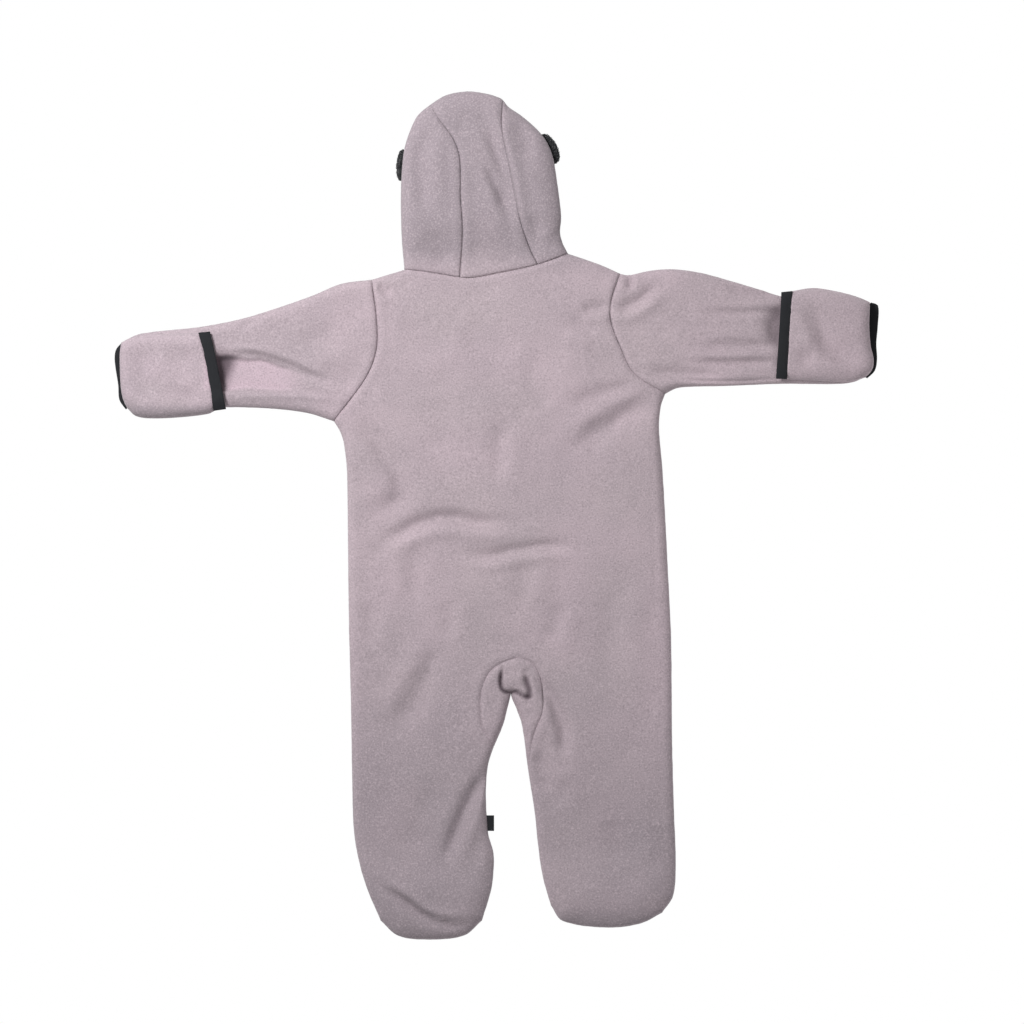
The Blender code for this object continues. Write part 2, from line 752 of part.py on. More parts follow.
def make_sleeve(side):
    """A tube from the armhole to the hand end, flat across its mouth."""
    upper = along(OUTLINE["sleeve_" + side + "_upper"], SLEEVE_COLUMNS)
    lower = along(OUTLINE["sleeve_" + side + "_lower"], SLEEVE_COLUMNS)
    mouth = along(cuff_line(side), ARMHOLE_ROWS)
    if side == "left":
        lower = along(OUTLINE["sleeve_left_lower"][::-1], SLEEVE_COLUMNS)
    else:
        upper = along(OUTLINE["sleeve_right_upper"][::-1], SLEEVE_COLUMNS)
    grid = patch(armhole(side), mouth, upper, lower)
    cloth("sleeve_" + side, [(grid, 1), (grid, -1)])


def make_flap(side):
    """The mitten flap, turned back over its sleeve, and the band along its mouth."""
    shape = FLAPS[side]
    seam, mouth = along(shape["seam"], FLAP_ROWS), along(shape["mouth"], FLAP_ROWS)
    upper, lower = along(shape["upper"], FLAP_COLUMNS), along(shape["lower"], FLAP_COLUMNS)
    end = along(shape["end"], FLAP_ROWS)
    grid = patch(seam, end, upper, lower)
    lifted = flap_lift(side)
    cloth("mitt_flap_" + side, [(grid, 1)], "fleece_smooth", True, lifted)
    band = np.stack([mouth, seam])
    cloth("flap_binding_" + side, [(band, 1)], "binding", True, lifted, WALL)


def make_cuff(side):
    """The binding along the palm side of the sleeve's end."""
    inner = along(cuff_line(side), ARMHOLE_ROWS)
    edge = CUFF_EDGES[side] if side == "left" else CUFF_EDGES[side][::-1]
    band = np.stack([inner, along(edge, ARMHOLE_ROWS)])
    cloth("cuff_binding_" + side, [(band, -1)], "binding")


def face_edge(angles, inside=0.0):
    """Points of the face opening's edge, or of a line this far inside it."""
    return np.stack(
        [
            FACE_CENTRE[0] + (FACE_HALF_WIDTH - inside) * np.cos(angles),
            FACE_CENTRE[1] + (FACE_HALF_HEIGHT - inside) * np.sin(angles),
        ],
        axis=1,
    )


def side_turns(side):
    """Angles round the face opening that a hood side takes up, from the chin."""
    bottom, chin = math.radians(270), math.asin(CHIN_GAP / FACE_HALF_WIDTH)
    if side == "left":
        return np.linspace(bottom - chin, FACE_LEFT_END, len(HOOD_ROWS) - 1)
    return np.linspace(bottom + chin, FACE_RIGHT_END + math.tau, len(HOOD_ROWS) - 1)


def crown_turns():
    """Angles round the face opening that the hood's middle panel takes up."""
    return np.linspace(FACE_LEFT_END, FACE_RIGHT_END, NECK_RIGHT_SEAM - NECK_LEFT_SEAM + 1)


def chin_edge(side):
    """The free edge of a hood side: up from the neck, then round the face."""
    offset = -CHIN_GAP if side == "left" else CHIN_GAP
    start = neck_at(NECK_SEAM[NECK_MIDDLE][0] + offset)
    return joined([start], face_edge(side_turns(side)))


def make_hood_side(side):
    neck = as_points(NECK_SEAM)
    if side == "left":
        seam, edge = HOOD_SEAM_LEFT, OUTLINE["hood_left_edge"][::-1]
        top_neck = neck[: NECK_LEFT_SEAM + 1]
        under_neck = neck[: NECK_MIDDLE]
    else:
        seam, edge = HOOD_SEAM_RIGHT, OUTLINE["hood_right_edge"]
        top_neck = neck[NECK_RIGHT_SEAM:][::-1]
        under_neck = neck[NECK_MIDDLE + 1:][::-1]
    seam, edge = along(seam, HOOD_ROWS), along(edge, HOOD_ROWS)
    chin = chin_edge(side)
    under_neck = joined(under_neck, [chin[0]])
    tip = np.repeat(edge[-1:], len(top_neck), axis=0)
    top = np.array(
        [straight(e, s, lengths(top_neck)) for e, s in zip(edge, seam)]
    )
    top[0] = top_neck
    top[-1] = tip
    under = patch(under_neck, straight(edge[-1], chin[-1], CROWN_ROWS), edge, chin)
    cloth("hood_" + side, [(top, 1), (under, -1)])


def make_hood_centre():
    """The middle panel, from the neck over the crown to the face opening."""
    neck = as_points(NECK_SEAM)[NECK_LEFT_SEAM: NECK_RIGHT_SEAM + 1]
    columns = np.linspace(0, 1, len(neck))
    crown = along(OUTLINE["hood_top_edge"][::-1], columns)
    left, right = along(HOOD_SEAM_LEFT, HOOD_ROWS), along(HOOD_SEAM_RIGHT, HOOD_ROWS)
    face = face_edge(crown_turns())
    top = patch(neck, crown, left, right)
    sides = [straight(crown[k], face[k], CROWN_ROWS) for k in (0, -1)]
    cloth("hood_centre", [(top, 1), (patch(crown, face, *sides), -1)])


def make_hood_binding():
    """The binding round the face opening, parted at the chin for the zip."""
    right = side_turns("right")[::-1] - math.tau
    turns = np.concatenate((side_turns("left"), crown_turns()[1:-1], right))
    band = np.stack([face_edge(turns), face_edge(turns, BINDING_WIDTH)])
    cloth("hood_binding", [(band, -1)], "binding", thick=BINDING_THICK)


def make_ear(side):
    """A lens of pile tucked under the hood's rolled edge."""
    x, y, angle, half_length, reach_out, reach_in = EARS[side]
    out = np.array([math.cos(math.radians(angle)), math.sin(math.radians(angle))])
    across = np.array([-out[1], out[0]])
    upper, lower = [], []
    rings = np.linspace(0, 1, EAR_RINGS + 1)[1:]
    for ring in [0.0, *rings]:
        for spoke in range(EAR_SPOKES if ring else 1):
            turn = math.tau * spoke / EAR_SPOKES
            reach = reach_out if math.cos(turn) > 0 else reach_in
            offset = out * ring * reach * math.cos(turn) + across * ring * half_length * math.sin(turn)
            point = np.array([x, y]) + offset
            thick = EAR_HALF_THICK * math.sqrt(1 - ring * ring)
            top, bottom = EAR_MIDDLE + thick, max(EAR_CLEAR, EAR_MIDDLE - thick)
            if signed_distance(point) > -EAR_TUCK:
                limit = lift(point, -1)[2] - EAR_CLEAR
                top = min(top, limit)
                bottom = min(bottom, limit - EAR_LEAST * (ring < 1))
            upper.append((*point, top))
            lower.append((*point, min(bottom, top)))
    return upper, lower


def lens(name, upper, lower, spokes, slot):
    """Closes two dished grids of rings and spokes that share their outer ring."""
    count = len(upper)
    rim = count - spokes
    points = [*upper, *lower[:rim]]

    def ring(k):
        return 0 if k == 0 else 1 + (k - 1) * spokes

    faces = []
    for k in range((count - 1) // spokes):
        for s in range(spokes):
            after = (s + 1) % spokes
            outer_a, outer_b = ring(k + 1) + s, ring(k + 1) + after
            inner = [0] if k == 0 else [ring(k) + s, ring(k) + after]
            if k == 0:
                face = [inner[0], outer_a, outer_b]
            else:
                face = [inner[0], outer_a, outer_b, inner[1]]
            faces.append(face)
            faces.append([n if n >= rim else n + count for n in reversed(face)])
    add_object(name, points, faces, slot)


def box(name, middle, size, slot, ease_by=0.0):
    """A block with its corners bevelled."""
    half = np.array(size, float) / 2
    corners = [
        np.array(middle) + half * (i, j, k) for k in (-1, 1) for j in (-1, 1) for i in (-1, 1)
    ]
    faces = [
        [0, 2, 3, 1], [4, 5, 7, 6], [0, 1, 5, 4], [2, 6, 7, 3], [0, 4, 6, 2], [1, 3, 7, 5],
    ]
    made = add_object(name, corners, faces, slot)
    if ease_by:
        bevel = made.modifiers.new("corners", "BEVEL")
        bevel.width = ease_by * MM
        bevel.segments = BEVEL_SEGMENTS
    return made


def make_zip_tape(side):
    """One half of the closed zip, down the channel between the two fronts."""
    way = -1 if side == "left" else 1
    yoke, torso = zip_rows()
    rows = np.concatenate((yoke, torso[1:], leg_zip_rows()[1:-1]))
    heights = np.concatenate(([ZIP_TOP], rows[rows < ZIP_TOP - 1]))
    inner = zip_edge(way * GAP / 2, heights)
    outer = zip_edge(way * ZIP_TAPE_WIDTH, heights)

    def lifted(point, side_up, depth=0.0):
        height = lift(point, -1)[2] + ZIP_TAPE_LIFT
        return np.array([point[0], point[1], height + depth])

    grid = np.stack([inner, outer], axis=1)
    cloth("zip_tape_" + side, [(grid, -1)], "zip", True, lifted, ZIP_TAPE_THICK)


def tube_ring(radius, inner_radius, x_low, x_high, centre):
    """Points and faces of a short ring about the X axis."""
    points, faces = [], []
    for x in (x_low, x_high):
        for r in (radius, inner_radius):
            for k in range(RING_SIDES):
                turn = math.tau * k / RING_SIDES
                points.append(
                    (centre[0] + x, centre[1] + r * math.cos(turn), centre[2] + r * math.sin(turn))
                )
    n = RING_SIDES
    for k in range(n):
        m = (k + 1) % n
        faces.append([k, m, 2 * n + m, 2 * n + k])
        faces.append([n + m, n + k, 3 * n + k, 3 * n + m])
        faces.append([m, k, n + k, n + m])
        faces.append([2 * n + k, 2 * n + m, 3 * n + m, 3 * n + k])
    return points, faces


def union(target, other):
    """Joins another closed mesh to this one, and drops the helper from the render."""
    other.hide_render = True
    other.display_type = "WIRE"
    join = target.modifiers.new("join", "BOOLEAN")
    join.operation = "UNION"
    join.object = other


def make_slider(top):
    """The slider at the top of the closed zip, and the pull tab on its bail."""
    x, top_y = between(ZIP_LINE, [top])[0]
    tape_bottom = lift(np.array([x, top_y]), -1)[2] + ZIP_TAPE_LIFT
    tape_top = tape_bottom + ZIP_TAPE_THICK
    lower_wing = tape_bottom - GAP - SLIDER_WING / 2
    upper_wing = tape_top + GAP + SLIDER_WING / 2
    wing_size = (SLIDER_WIDTH, SLIDER_LENGTH, SLIDER_WING)
    y = top_y - SLIDER_BELOW_TOP
    slider = box("zip_slider", (x, y, lower_wing), wing_size, "metal")
    union(slider, box("slider_upper_wing", (x, y, upper_wing), wing_size, "metal"))
    divider_middle = (x, top_y + DIVIDER_ABOVE_TOP, (lower_wing + upper_wing) / 2)
    divider_high = upper_wing - lower_wing + SLIDER_WING / 2
    divider_size = (DIVIDER_SIZE, DIVIDER_SIZE, divider_high)
    union(slider, box("slider_divider", divider_middle, divider_size, "metal"))
    bail_y = y + BAIL_AHEAD
    post_x = PULL_RING_WIDTH / 2 + GAP + POST_WIDTH / 2
    post_high = lower_wing - BAIL_HEIGHT + POST_BELOW_BAR
    post_size = (POST_WIDTH, POST_LENGTH, post_high)
    for name, way in (("slider_post_left", -1), ("slider_post_right", 1)):
        post_middle = (x + way * post_x, bail_y, lower_wing - post_high / 2)
        union(slider, box(name, post_middle, post_size, "metal"))
    bar_size = (2 * post_x, BAIL_BAR, BAIL_BAR)
    union(slider, box("slider_bar", (x, bail_y, BAIL_HEIGHT), bar_size, "metal"))
    make_pull(np.array([x, bail_y, BAIL_HEIGHT]))


def make_pull(axis):
    """The pull tab: a flat tongue on a ring round the bail."""
    half = PULL_RING_WIDTH / 2
    points, faces = tube_ring(PULL_RING_OUTER, PULL_RING_INNER, -half, half, axis)
    pull = add_object("zip_pull", points, faces, "metal", origin=axis)
    neck_middle = axis - (0, PULL_NECK_START + PULL_NECK_LENGTH / 2, 0)
    neck_size = (PULL_RING_WIDTH, PULL_NECK_LENGTH, PULL_THICK)
    union(pull, box("pull_neck", neck_middle, neck_size, "metal"))
    tongue_middle = axis - (0, PULL_TONGUE_START + PULL_LENGTH / 2, 0)
    tongue_size = (PULL_WIDTH, PULL_LENGTH, PULL_THICK)
    union(pull, box("pull_tongue", tongue_middle, tongue_size, "metal"))


def clear_scene():
    for thing in list(bpy.data.objects):
        bpy.data.objects.remove(thing, do_unlink=True)


def main():
    clear_scene()
    make_back()
    make_front_left()
    make_front_right()
    make_gusset()
    for side in ("left", "right"):
        make_sleeve(side)
        make_flap(side)
        make_cuff(side)
        make_hood_side(side)
        make_zip_tape(side)
        upper, lower = make_ear(side)
        lens("ear_" + side, upper, lower, EAR_SPOKES, "pile")
    make_hood_centre()
    make_hood_binding()
    make_slider(ZIP_TOP)
    box("zip_end_tab", TAB_MIDDLE, TAB_SIZE, "binding", TAB_BEVEL)


main()
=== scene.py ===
import math

import bmesh
import bpy
import numpy as np
from mathutils.kdtree import KDTree
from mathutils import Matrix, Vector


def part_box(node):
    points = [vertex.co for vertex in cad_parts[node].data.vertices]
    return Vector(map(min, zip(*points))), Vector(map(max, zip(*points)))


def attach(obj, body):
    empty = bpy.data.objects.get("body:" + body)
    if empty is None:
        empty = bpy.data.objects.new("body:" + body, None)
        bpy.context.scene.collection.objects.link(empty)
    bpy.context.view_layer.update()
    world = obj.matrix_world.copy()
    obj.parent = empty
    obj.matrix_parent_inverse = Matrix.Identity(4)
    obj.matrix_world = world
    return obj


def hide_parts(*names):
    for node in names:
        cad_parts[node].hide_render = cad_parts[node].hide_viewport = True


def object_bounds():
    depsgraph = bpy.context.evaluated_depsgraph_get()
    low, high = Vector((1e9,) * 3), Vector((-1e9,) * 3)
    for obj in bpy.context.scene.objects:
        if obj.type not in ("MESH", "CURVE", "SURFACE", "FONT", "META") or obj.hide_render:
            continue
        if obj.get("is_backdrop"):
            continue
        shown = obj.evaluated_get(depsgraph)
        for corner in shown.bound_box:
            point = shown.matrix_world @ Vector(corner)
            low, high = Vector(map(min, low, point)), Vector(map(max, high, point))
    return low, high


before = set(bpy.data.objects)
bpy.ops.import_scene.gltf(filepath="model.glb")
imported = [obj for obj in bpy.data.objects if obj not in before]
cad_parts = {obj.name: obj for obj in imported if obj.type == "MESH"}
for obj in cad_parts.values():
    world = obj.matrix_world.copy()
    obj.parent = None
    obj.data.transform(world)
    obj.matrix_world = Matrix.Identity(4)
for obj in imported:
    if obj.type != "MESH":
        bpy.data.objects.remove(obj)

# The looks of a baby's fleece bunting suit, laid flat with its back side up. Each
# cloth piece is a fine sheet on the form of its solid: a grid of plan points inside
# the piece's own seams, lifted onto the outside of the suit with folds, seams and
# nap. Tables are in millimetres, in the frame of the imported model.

CAD_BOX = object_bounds()

# The grid's step, the spacing of points on a fine line, the cloth's thickness, and how
# close two points are welded.
MM = 0.001
GRID = 2.45
FINE = 1.0
WALL = 2.2
WELD = 0.03
SMALL = 1e-9

# Half height of the suit and the reach of its rolled edge, per region.
BODY_HEIGHT = 8.0
BODY_ROLL = 9.0
REGIONS = (
    # axis, start, full, half height, roll
    ("y", 252.0, 305.0, 12.0, 22.0),
    ("y", -325.0, -385.0, 11.5, 26.0),
    ("x", 175.0, 225.0, 7.6, 10.0),
)

# The outline, in stretches that follow each other anticlockwise round the suit.
OUTLINE = {
    "shoulder_left": ((-92, 245.5), (-108, 240.5), (-124.5, 235.5)),
    "sleeve_left_upper": (
        (-124.5, 235.5), (-154.5, 231.5), (-185.5, 219), (-224.5, 205.5), (-256.5, 196),
        (-295.5, 188.5), (-346.5, 183), (-362, 179.5), (-373, 172),
    ),
    "cuff_left": ((-373, 172), (-374.5, 150), (-373, 130), (-369, 112)),
    "sleeve_left_lower": (
        (-369, 112), (-361, 104.5), (-346.5, 102), (-287.5, 106), (-270.5, 108),
        (-228.5, 107), (-189.5, 102.5), (-162.5, 94),
    ),
    "side_left": (
        (-162.5, 94), (-156.5, 84.5), (-152.5, 72), (-149.5, 45.5), (-148.5, -14.5),
        (-147.5, -104.5), (-145.5, -184.5), (-144, -274.5), (-142.5, -314.5),
        (-137.5, -344.5), (-128.5, -374.5), (-115.5, -404.5),
    ),
    "foot_left": (
        (-115.5, -404.5), (-98.5, -419.5), (-68.5, -423.5), (-32.5, -419.5), (-14.5, -404.5),
    ),
    "inner_left": (
        (-14.5, -404.5), (-5.5, -374.5), (-3, -356.5), (-3, -337), (-8, -319),
        (-9, -306.5), (-10, -296.5), (-10.5, -274.5), (-8.5, -249.5), (-2.5, -230.5),
        (6.5, -209.5), (10.5, -194.5), (14.5, -177.5),
    ),
    "inner_right": (
        (14.5, -177.5), (20.5, -194.5), (25.5, -209.5), (31, -250), (38.5, -299.5),
        (41.5, -329.5), (46.5, -362), (54.5, -389.5),
    ),
    "foot_right": (
        (54.5, -389.5), (65.5, -404.5), (108.5, -411.5), (143.5, -407.5), (165.5, -396.5),
    ),
    "side_right": (
        (165.5, -396.5), (176.5, -379.5), (179, -344.5), (177.5, -299.5), (175.5, -224.5),
        (174.5, -124.5), (171.5, -59.5), (168.5, 0.5), (165.5, 50.5), (162.5, 85.5),
        (164, 108), (168.5, 121.5),
    ),
    "sleeve_right_lower": (
        (168.5, 121.5), (180, 127), (193.5, 128.5), (233.5, 129.5), (283.5, 131.5),
        (343.5, 131.5), (360, 134.5), (369, 141),
    ),
    "cuff_right": ((369, 141), (370.5, 160), (370, 190), (370, 205)),
    "sleeve_right_upper": (
        (370, 205), (360, 212), (343.5, 217), (313.5, 220), (285.5, 219), (263.5, 225.5),
        (233.5, 234.5), (203.5, 242.5), (176.5, 246), (153.5, 244.5), (131.5, 240),
        (123.5, 241.5),
    ),
    "shoulder_right": ((123.5, 241.5), (103.5, 250.5), (71.5, 261.5)),
    "hood_right_edge": (
        (71.5, 261.5), (65.5, 273.5), (63.5, 283.5), (64.5, 295.5), (63.5, 310.5),
        (59.5, 340.5), (56.5, 357.5), (51.5, 370.5), (42.5, 383.5), (24.5, 399.5),
        (12.5, 407.5), (6.5, 414.5),
    ),
    "hood_top_edge": (
        (6.5, 414.5), (3.5, 417), (-11.5, 421.5), (-27.5, 423.5), (-41.5, 422),
        (-53, 418.5), (-66.5, 410),
    ),
    "hood_left_edge": (
        (-66.5, 410), (-78.5, 399.5), (-86.5, 383.5), (-92.5, 363.5), (-95, 335.5),
        (-95.5, 307.5), (-94.5, 275.5), (-92, 245.5),
    ),
}
MOUTHS = ("cuff_left", "cuff_right")

# Seams inside the outline.
NECK_SEAM = (
    (-92, 245.5), (-78, 244.1), (-58, 241.2), (-36.5, 237.5), (-25.5, 237), (-14.5, 238.5),
    (4, 242.3), (23, 246), (41.5, 250.5), (54, 254.6), (65.5, 259.1), (71.5, 261.5),
)
NECK_ZIP, NECK_HOOD_LEFT, NECK_HOOD_RIGHT = -14.5, -36.5, 41.5
HOOD_SEAM_LEFT = (
    (-36.5, 237.5), (-33.5, 283.5), (-35.5, 317.5), (-36.5, 357.5), (-43.5, 376.5),
    (-58.5, 396.5), (-66.5, 410),
)
HOOD_SEAM_RIGHT = (
    (41.5, 250.5), (34.5, 264.5), (23.5, 295.5), (13.5, 343.5), (5.5, 386.5), (6.5, 414.5),
)
ARMHOLES = {
    "left": (
        (-124.5, 235.5), (-119.5, 196.5), (-119.5, 166.5), (-129.5, 138.5), (-162.5, 94),
    ),
    "right": (
        (123.5, 241.5), (114.5, 212.5), (114.5, 193.5), (124.5, 166.5), (137.5, 141.5),
        (168.5, 121.5),
    ),
}
# How much finer the gusset's grid is, and its upper corner, which is also the waist.
GUSSET_FINER = 2.2
GUSSET_TOP = (22.5, -141.5)
GUSSET_SEAMS = {
    "left": (
        GUSSET_TOP, (4, -148), (-8, -158), (-15, -175), (-16, -192), (-13.5, -211),
        (-2.5, -230.5),
    ),
    "right": (
        GUSSET_TOP, (36, -148), (42.5, -158), (46.5, -175), (46, -195), (37, -220), (31, -250),
    ),
}
GUSSET_PLEAT = (GUSSET_TOP, (21, -148), (19, -158))
GUSSET_INNER = {
    "left": (*GUSSET_PLEAT, *OUTLINE["inner_left"][:-5:-1]),
    "right": (*GUSSET_PLEAT, *OUTLINE["inner_right"][:4]),
}

# The zip's line, from the neck to the inner left leg, its tapes and teeth, the channel
# over it, and where its parts end.
ZIP_LINE = (
    (-14.5, 238.5), (-6, 170), (2, 110), (8, 20), (9, -45), (5, -80), (-8, -112), (-25, -141.5),
    (-34, -165), (-38, -192), (-37, -215), (-33, -240), (-25, -266), (-16, -292),
)
ZIP_HALF_WIDTH = 6.5
ZIP_TAPE_GAP, ZIP_TAPE_WIDTH = 0.15, 6.0
ZIP_TAPE_THICK = 0.7
ZIP_TAPE_LIFT = 1.1
ZIP_CHANNEL = 3.2
ZIP_CHANNEL_FLAT = 9.0
ZIP_CHANNEL_REACH = 26.0
ZIP_TOP = 228.0
ZIP_END = -277.0
ZIP_STRIP_END = -280.0
ZIP_LEG_POINTS, ZIP_LEG_GAP = 80, 4
TOOTH_PITCH, TOOTH_BELOW = 1.6, 0.5
TOOTH_SIZE = (2.4, 0.9, 1.0)

# The face opening, an ellipse in the hood's underside, and its binding.
FACE_CENTRE = (-13.5, 327.5)
FACE_HALF_WIDTH = 44.0
FACE_HALF_HEIGHT = 60.0
FACE_LEFT_END = math.radians(125)
FACE_RIGHT_END = math.radians(70)
CHIN_GAP = 1.0
CHIN_ROWS = 0.08
FACE_POINTS = 240
BINDING_WIDTH = 9.0

# The mitten flaps: upper edge, hand end, lower edge and the two sides of the band.
FLAPS = {
    "left": {
        "upper": ((-296.5, 182.5), (-346.5, 180.5), (-364, 178), (-374.5, 172.8)),
        "end": ((-374.5, 172.8), (-376, 163), (-376, 148), (-375, 128), (-372.5, 115), (-368.5, 107)),
        "lower": (
            (-281.5, 104.5), (-287.5, 101.5), (-316.5, 98), (-346.5, 97), (-360.5, 99.5),
            (-368.5, 107),
        ),
        "seam": ((-296.5, 182.5), (-289, 150), (-281.5, 104.5)),
        "mouth": ((-286.5, 183.5), (-279, 150), (-270.5, 106)),
    },
    "right": {
        "upper": ((294.5, 224), (313, 227), (325, 226.5), (350, 221.5), (364, 217), (373, 213)),
        "end": ((373, 213), (372.2, 190), (373.5, 170), (376.5, 156), (375, 145), (368.5, 138)),
        "lower": ((289, 136), (320, 134.5), (343.5, 133.5), (358, 134.5), (368.5, 138)),
        "seam": ((294.5, 224), (292, 180), (289, 136)),
        "mouth": ((285, 223), (282.5, 180), (279.5, 136.5)),
    },
}
FLAP_AIR = 4.8
FLAP_AIR_REACH = 15.0
FLAP_CLEAR = 0.4
FLAP_WALL = 2.6
FLAP_SPREAD = 6.0
FLAP_DROP = 3.6
FLAP_DROP_REACH = 9.0
FLAP_LOWEST = 9.8

# The outer edge of the binding on the palm side of each sleeve's end, how far it
# reaches over the sleeve, and the same for the zip's end tab.
CUFF_EDGES = {
    "left": (
        (-373, 173.5), (-379.5, 166), (-381, 158), (-380, 147), (-377.5, 131), (-376.3, 116),
        (-370, 106.5),
    ),
    "right": (
        (374, 212.5), (380.8, 209.5), (380.5, 189), (379, 172), (379.7, 156), (377.5, 145),
        (370, 137.5),
    ),
}
TAB_TUCK, TAB_ROWS = 3.0, 24
CUFF_OVERLAP = 5.0
CUFF_HEIGHT = 1.9

# Folded elastic: how square its edge and face are, its ribs, and its least height.
BAND_SIDES = 20
BAND_HALF_THICK, BAND_OVERLAP = 1.7, 0.8
BAND_EDGE, BAND_FACE = 0.45, 0.7
BAND_RIB = 0.07
FLOOR_GAP = 0.05

EARS = {
    # x, y, outward angle in degrees, half length, reach out, reach in
    "left": (-94.5, 350.0, 176.0, 16.0, 5.5, 10.0),
    "right": (52.8, 366.0, 25.0, 16.5, 8.5, 10.0),
}
EAR_HEIGHT = 5.4
EAR_RINGS, EAR_SPOKES = 10, 32
# How far inside the ear's reach and ends the core and the curls lie, and their rise.
EAR_CORE = (1.2, 1.5, 3.2)
EAR_CURLS = (1.6, 1.8, 3.4)
# The curls: how many, where they stand, how they lean, and the form of each.
CURLS, CURL_STEPS, CURL_TURNS = 420, 14, 1.2
CURL_TURN, CURL_TILTS = 1.9, (0.12, 0.88)
CURL_UP, CURL_LEAN = 0.7, 0.5
CURL_RADII = (0.7, 1.3)
CURL_THICK, CURL_TAPER, CURL_RISE, CURL_LOWEST = 0.42, 0.55, 1.6, 0.3

# Folds: the path of each trough, its half width and depth, and the bank beside it.
# The bank stands on the left of the path, and a bank below zero on its right.
BACK_FOLDS = (
    # path, half width, depth, bank
    (((-141, 105), (-116, 70), (-97, 40), (-94, 20), (-102, 12), (-128, -3)), 11, 2.6, -1.4),
    (((-120, -36), (-108, -24), (-70, -5.5), (-43, -2.5), (-13, -7), (22, -7)), 7.5, 3.2, -1.3),
    (((-34, -38), (-6, -40), (21, -34.5), (48, -31), (84, -32)), 6, 2.4, -0.9),
    (((162, 112), (132, 102), (109, 88), (74, 66)), 10, 2.5, -1.5),
    (((144, 131), (98, 118), (70, 110)), 8, 1.2, -0.7),
    (((4, 98), (3, 60), (-1, 26)), 9, 1.3, 0.5),
    (((-126, -82), (-126, -140)), 9, 1.2, 0.6),
    (((-81, -26), (-82, -95)), 10, 1.2, -0.6),
    (((-47, -82), (-48, -128)), 9, 1.0, 0.5),
    (((-60, -135), (-74, -165)), 9, 1.2, -0.8),
    (((29, -43), (24, -95)), 10, 1.2, 0.7),
    (((66, -84), (53, -130)), 9, 1.2, 0.7),
    (((120, -60), (112, -130), (118, -180)), 14, 1.0, 0.6),
    (((-4, -246), (-22, -276), (-36, -306), (-47, -334), (-56, -348)), 8, 3.6, 1.6),
    (((-63, -149), (-75, -173), (-98, -217)), 12, 2.0, -1.2),
    (((36, -156), (47, -169), (58, -188), (65, -208), (68.5, -226), (64, -248)), 6.5, 3.3, -1.2),
    (((38, -234), (53, -281)), 10, 2.2, 1.2),
    (((52, -205), (58, -260), (60, -310)), 13, 1.1, 0.7),
    (((-118, -368), (-91, -386), (-72.5, -400), (-49, -408), (-18, -408)), 5, 3.4, 1.6),
    (((-58, -250), (-72, -300), (-88, -345)), 16, 1.1, 0.8),
    (((120, -300), (128, -350)), 16, 1.2, 0.8),
    (((76, -402), (89, -407)), 4, 1.2, 0.5),
    (((-100, 205), (-70, 175), (-40, 165)), 14, 1.0, -0.8),
    (((71, 196), (104, 183)), 9, 1.4, -0.9),
    (((84, 205), (98, 207), (116, 211)), 6, 1.8, -0.9),
    (((-118, 233), (-112, 226), (-102, 222)), 5, 2.0, -0.8),
    (((-30, 205), (0, 175), (20, 150)), 20, 0.9, 0.6),
    (((38, 170), (44, 130), (60, 100)), 18, 0.9, 0.6),
    (((-60, 120), (-52, 60)), 22, 1.0, 0.6),
    (((4, -166), (17, -164), (30, -166)), 8, -0.9, 0.0),
)
# The pinched folds round the bulge above the crotch, which are also painted with shade.
CROTCH_FOLDS = (
    (((6, -152), (4.5, -160), (4.2, -168), (6.5, -174.5), (12, -177), (19, -176)), 1.7, 3.0, 0.0),
    (((12, -178), (19, -176.5), (25, -179), (31, -181.5), (38, -180)), 1.9, 2.2, 0.0),
    (((28, -158), (30.5, -167), (33, -176), (30.5, -186)), 2.7, 2.4, 0.4),
)
SLEEVE_FOLDS = (
    (((-274, 161), (-236, 158.5), (-208, 150), (-183, 139), (-160, 133)), 4, 1.6, 1.5),
    (((-274, 125), (-225, 124.5), (-190, 124), (-160, 120)), 3, 1.2, -1.0),
    (((-283, 148), (-266, 146)), 16, 3.6, 0.0),
    (((-238, 199), (-246, 193), (-258, 186)), 4, 1.4, -0.8),
    (((-150, 190), (-175, 178), (-200, 176)), 14, 1.0, 0.8),
    (((-140, 125), (-160, 140), (-180, 146)), 10, 1.2, 0.8),
    (((117, 211), (129, 208), (154, 223), (162, 231)), 6, 2.4, -1.4),
    (((132, 239), (135, 229), (139, 225)), 4, 2.2, 0.6),
    (((225, 229), (250, 222), (268, 219), (284, 213)), 5, 2.3, 1.2),
    (((205, 203), (240, 202), (284, 203)), 4, 1.2, 0.6),
    (((200, 169), (250, 169), (284, 169)), 6, 1.5, 0.7),
    (((190, 153), (240, 152), (286, 154)), 4.5, 2.0, 1.0),
    (((145, 143), (200, 141), (235, 142)), 6, 1.8, -1.0),
    (((286, 206), (277, 190), (286, 168)), 9, 3.2, 0.0),
    (((170, 137), (200, 134.5), (240, 134), (288, 137)), 1.7, 1.7, 0.0),
)
HOOD_FOLDS = (
    (((-68, 392), (-76, 352), (-74, 318), (-68, 292)), 9, 3.0, 0.9),
    (((-70, 285), (-52, 262), (-44, 248)), 13, 1.4, 0.7),
    (((-16, 405), (4, 352), (12, 316), (16, 280)), 7, 2.6, 1.0),
    (((-12, 352), (2, 325), (10, 300)), 5, 2.0, -0.8),
    (((20, 400), (30, 372), (34, 350)), 8, 1.6, 0.7),
    (((-40, 402), (-20, 395), (-5, 398)), 12, 1.0, 0.5),
    (((42, 300), (36, 275), (45, 262)), 9, 1.5, 0.8),
)
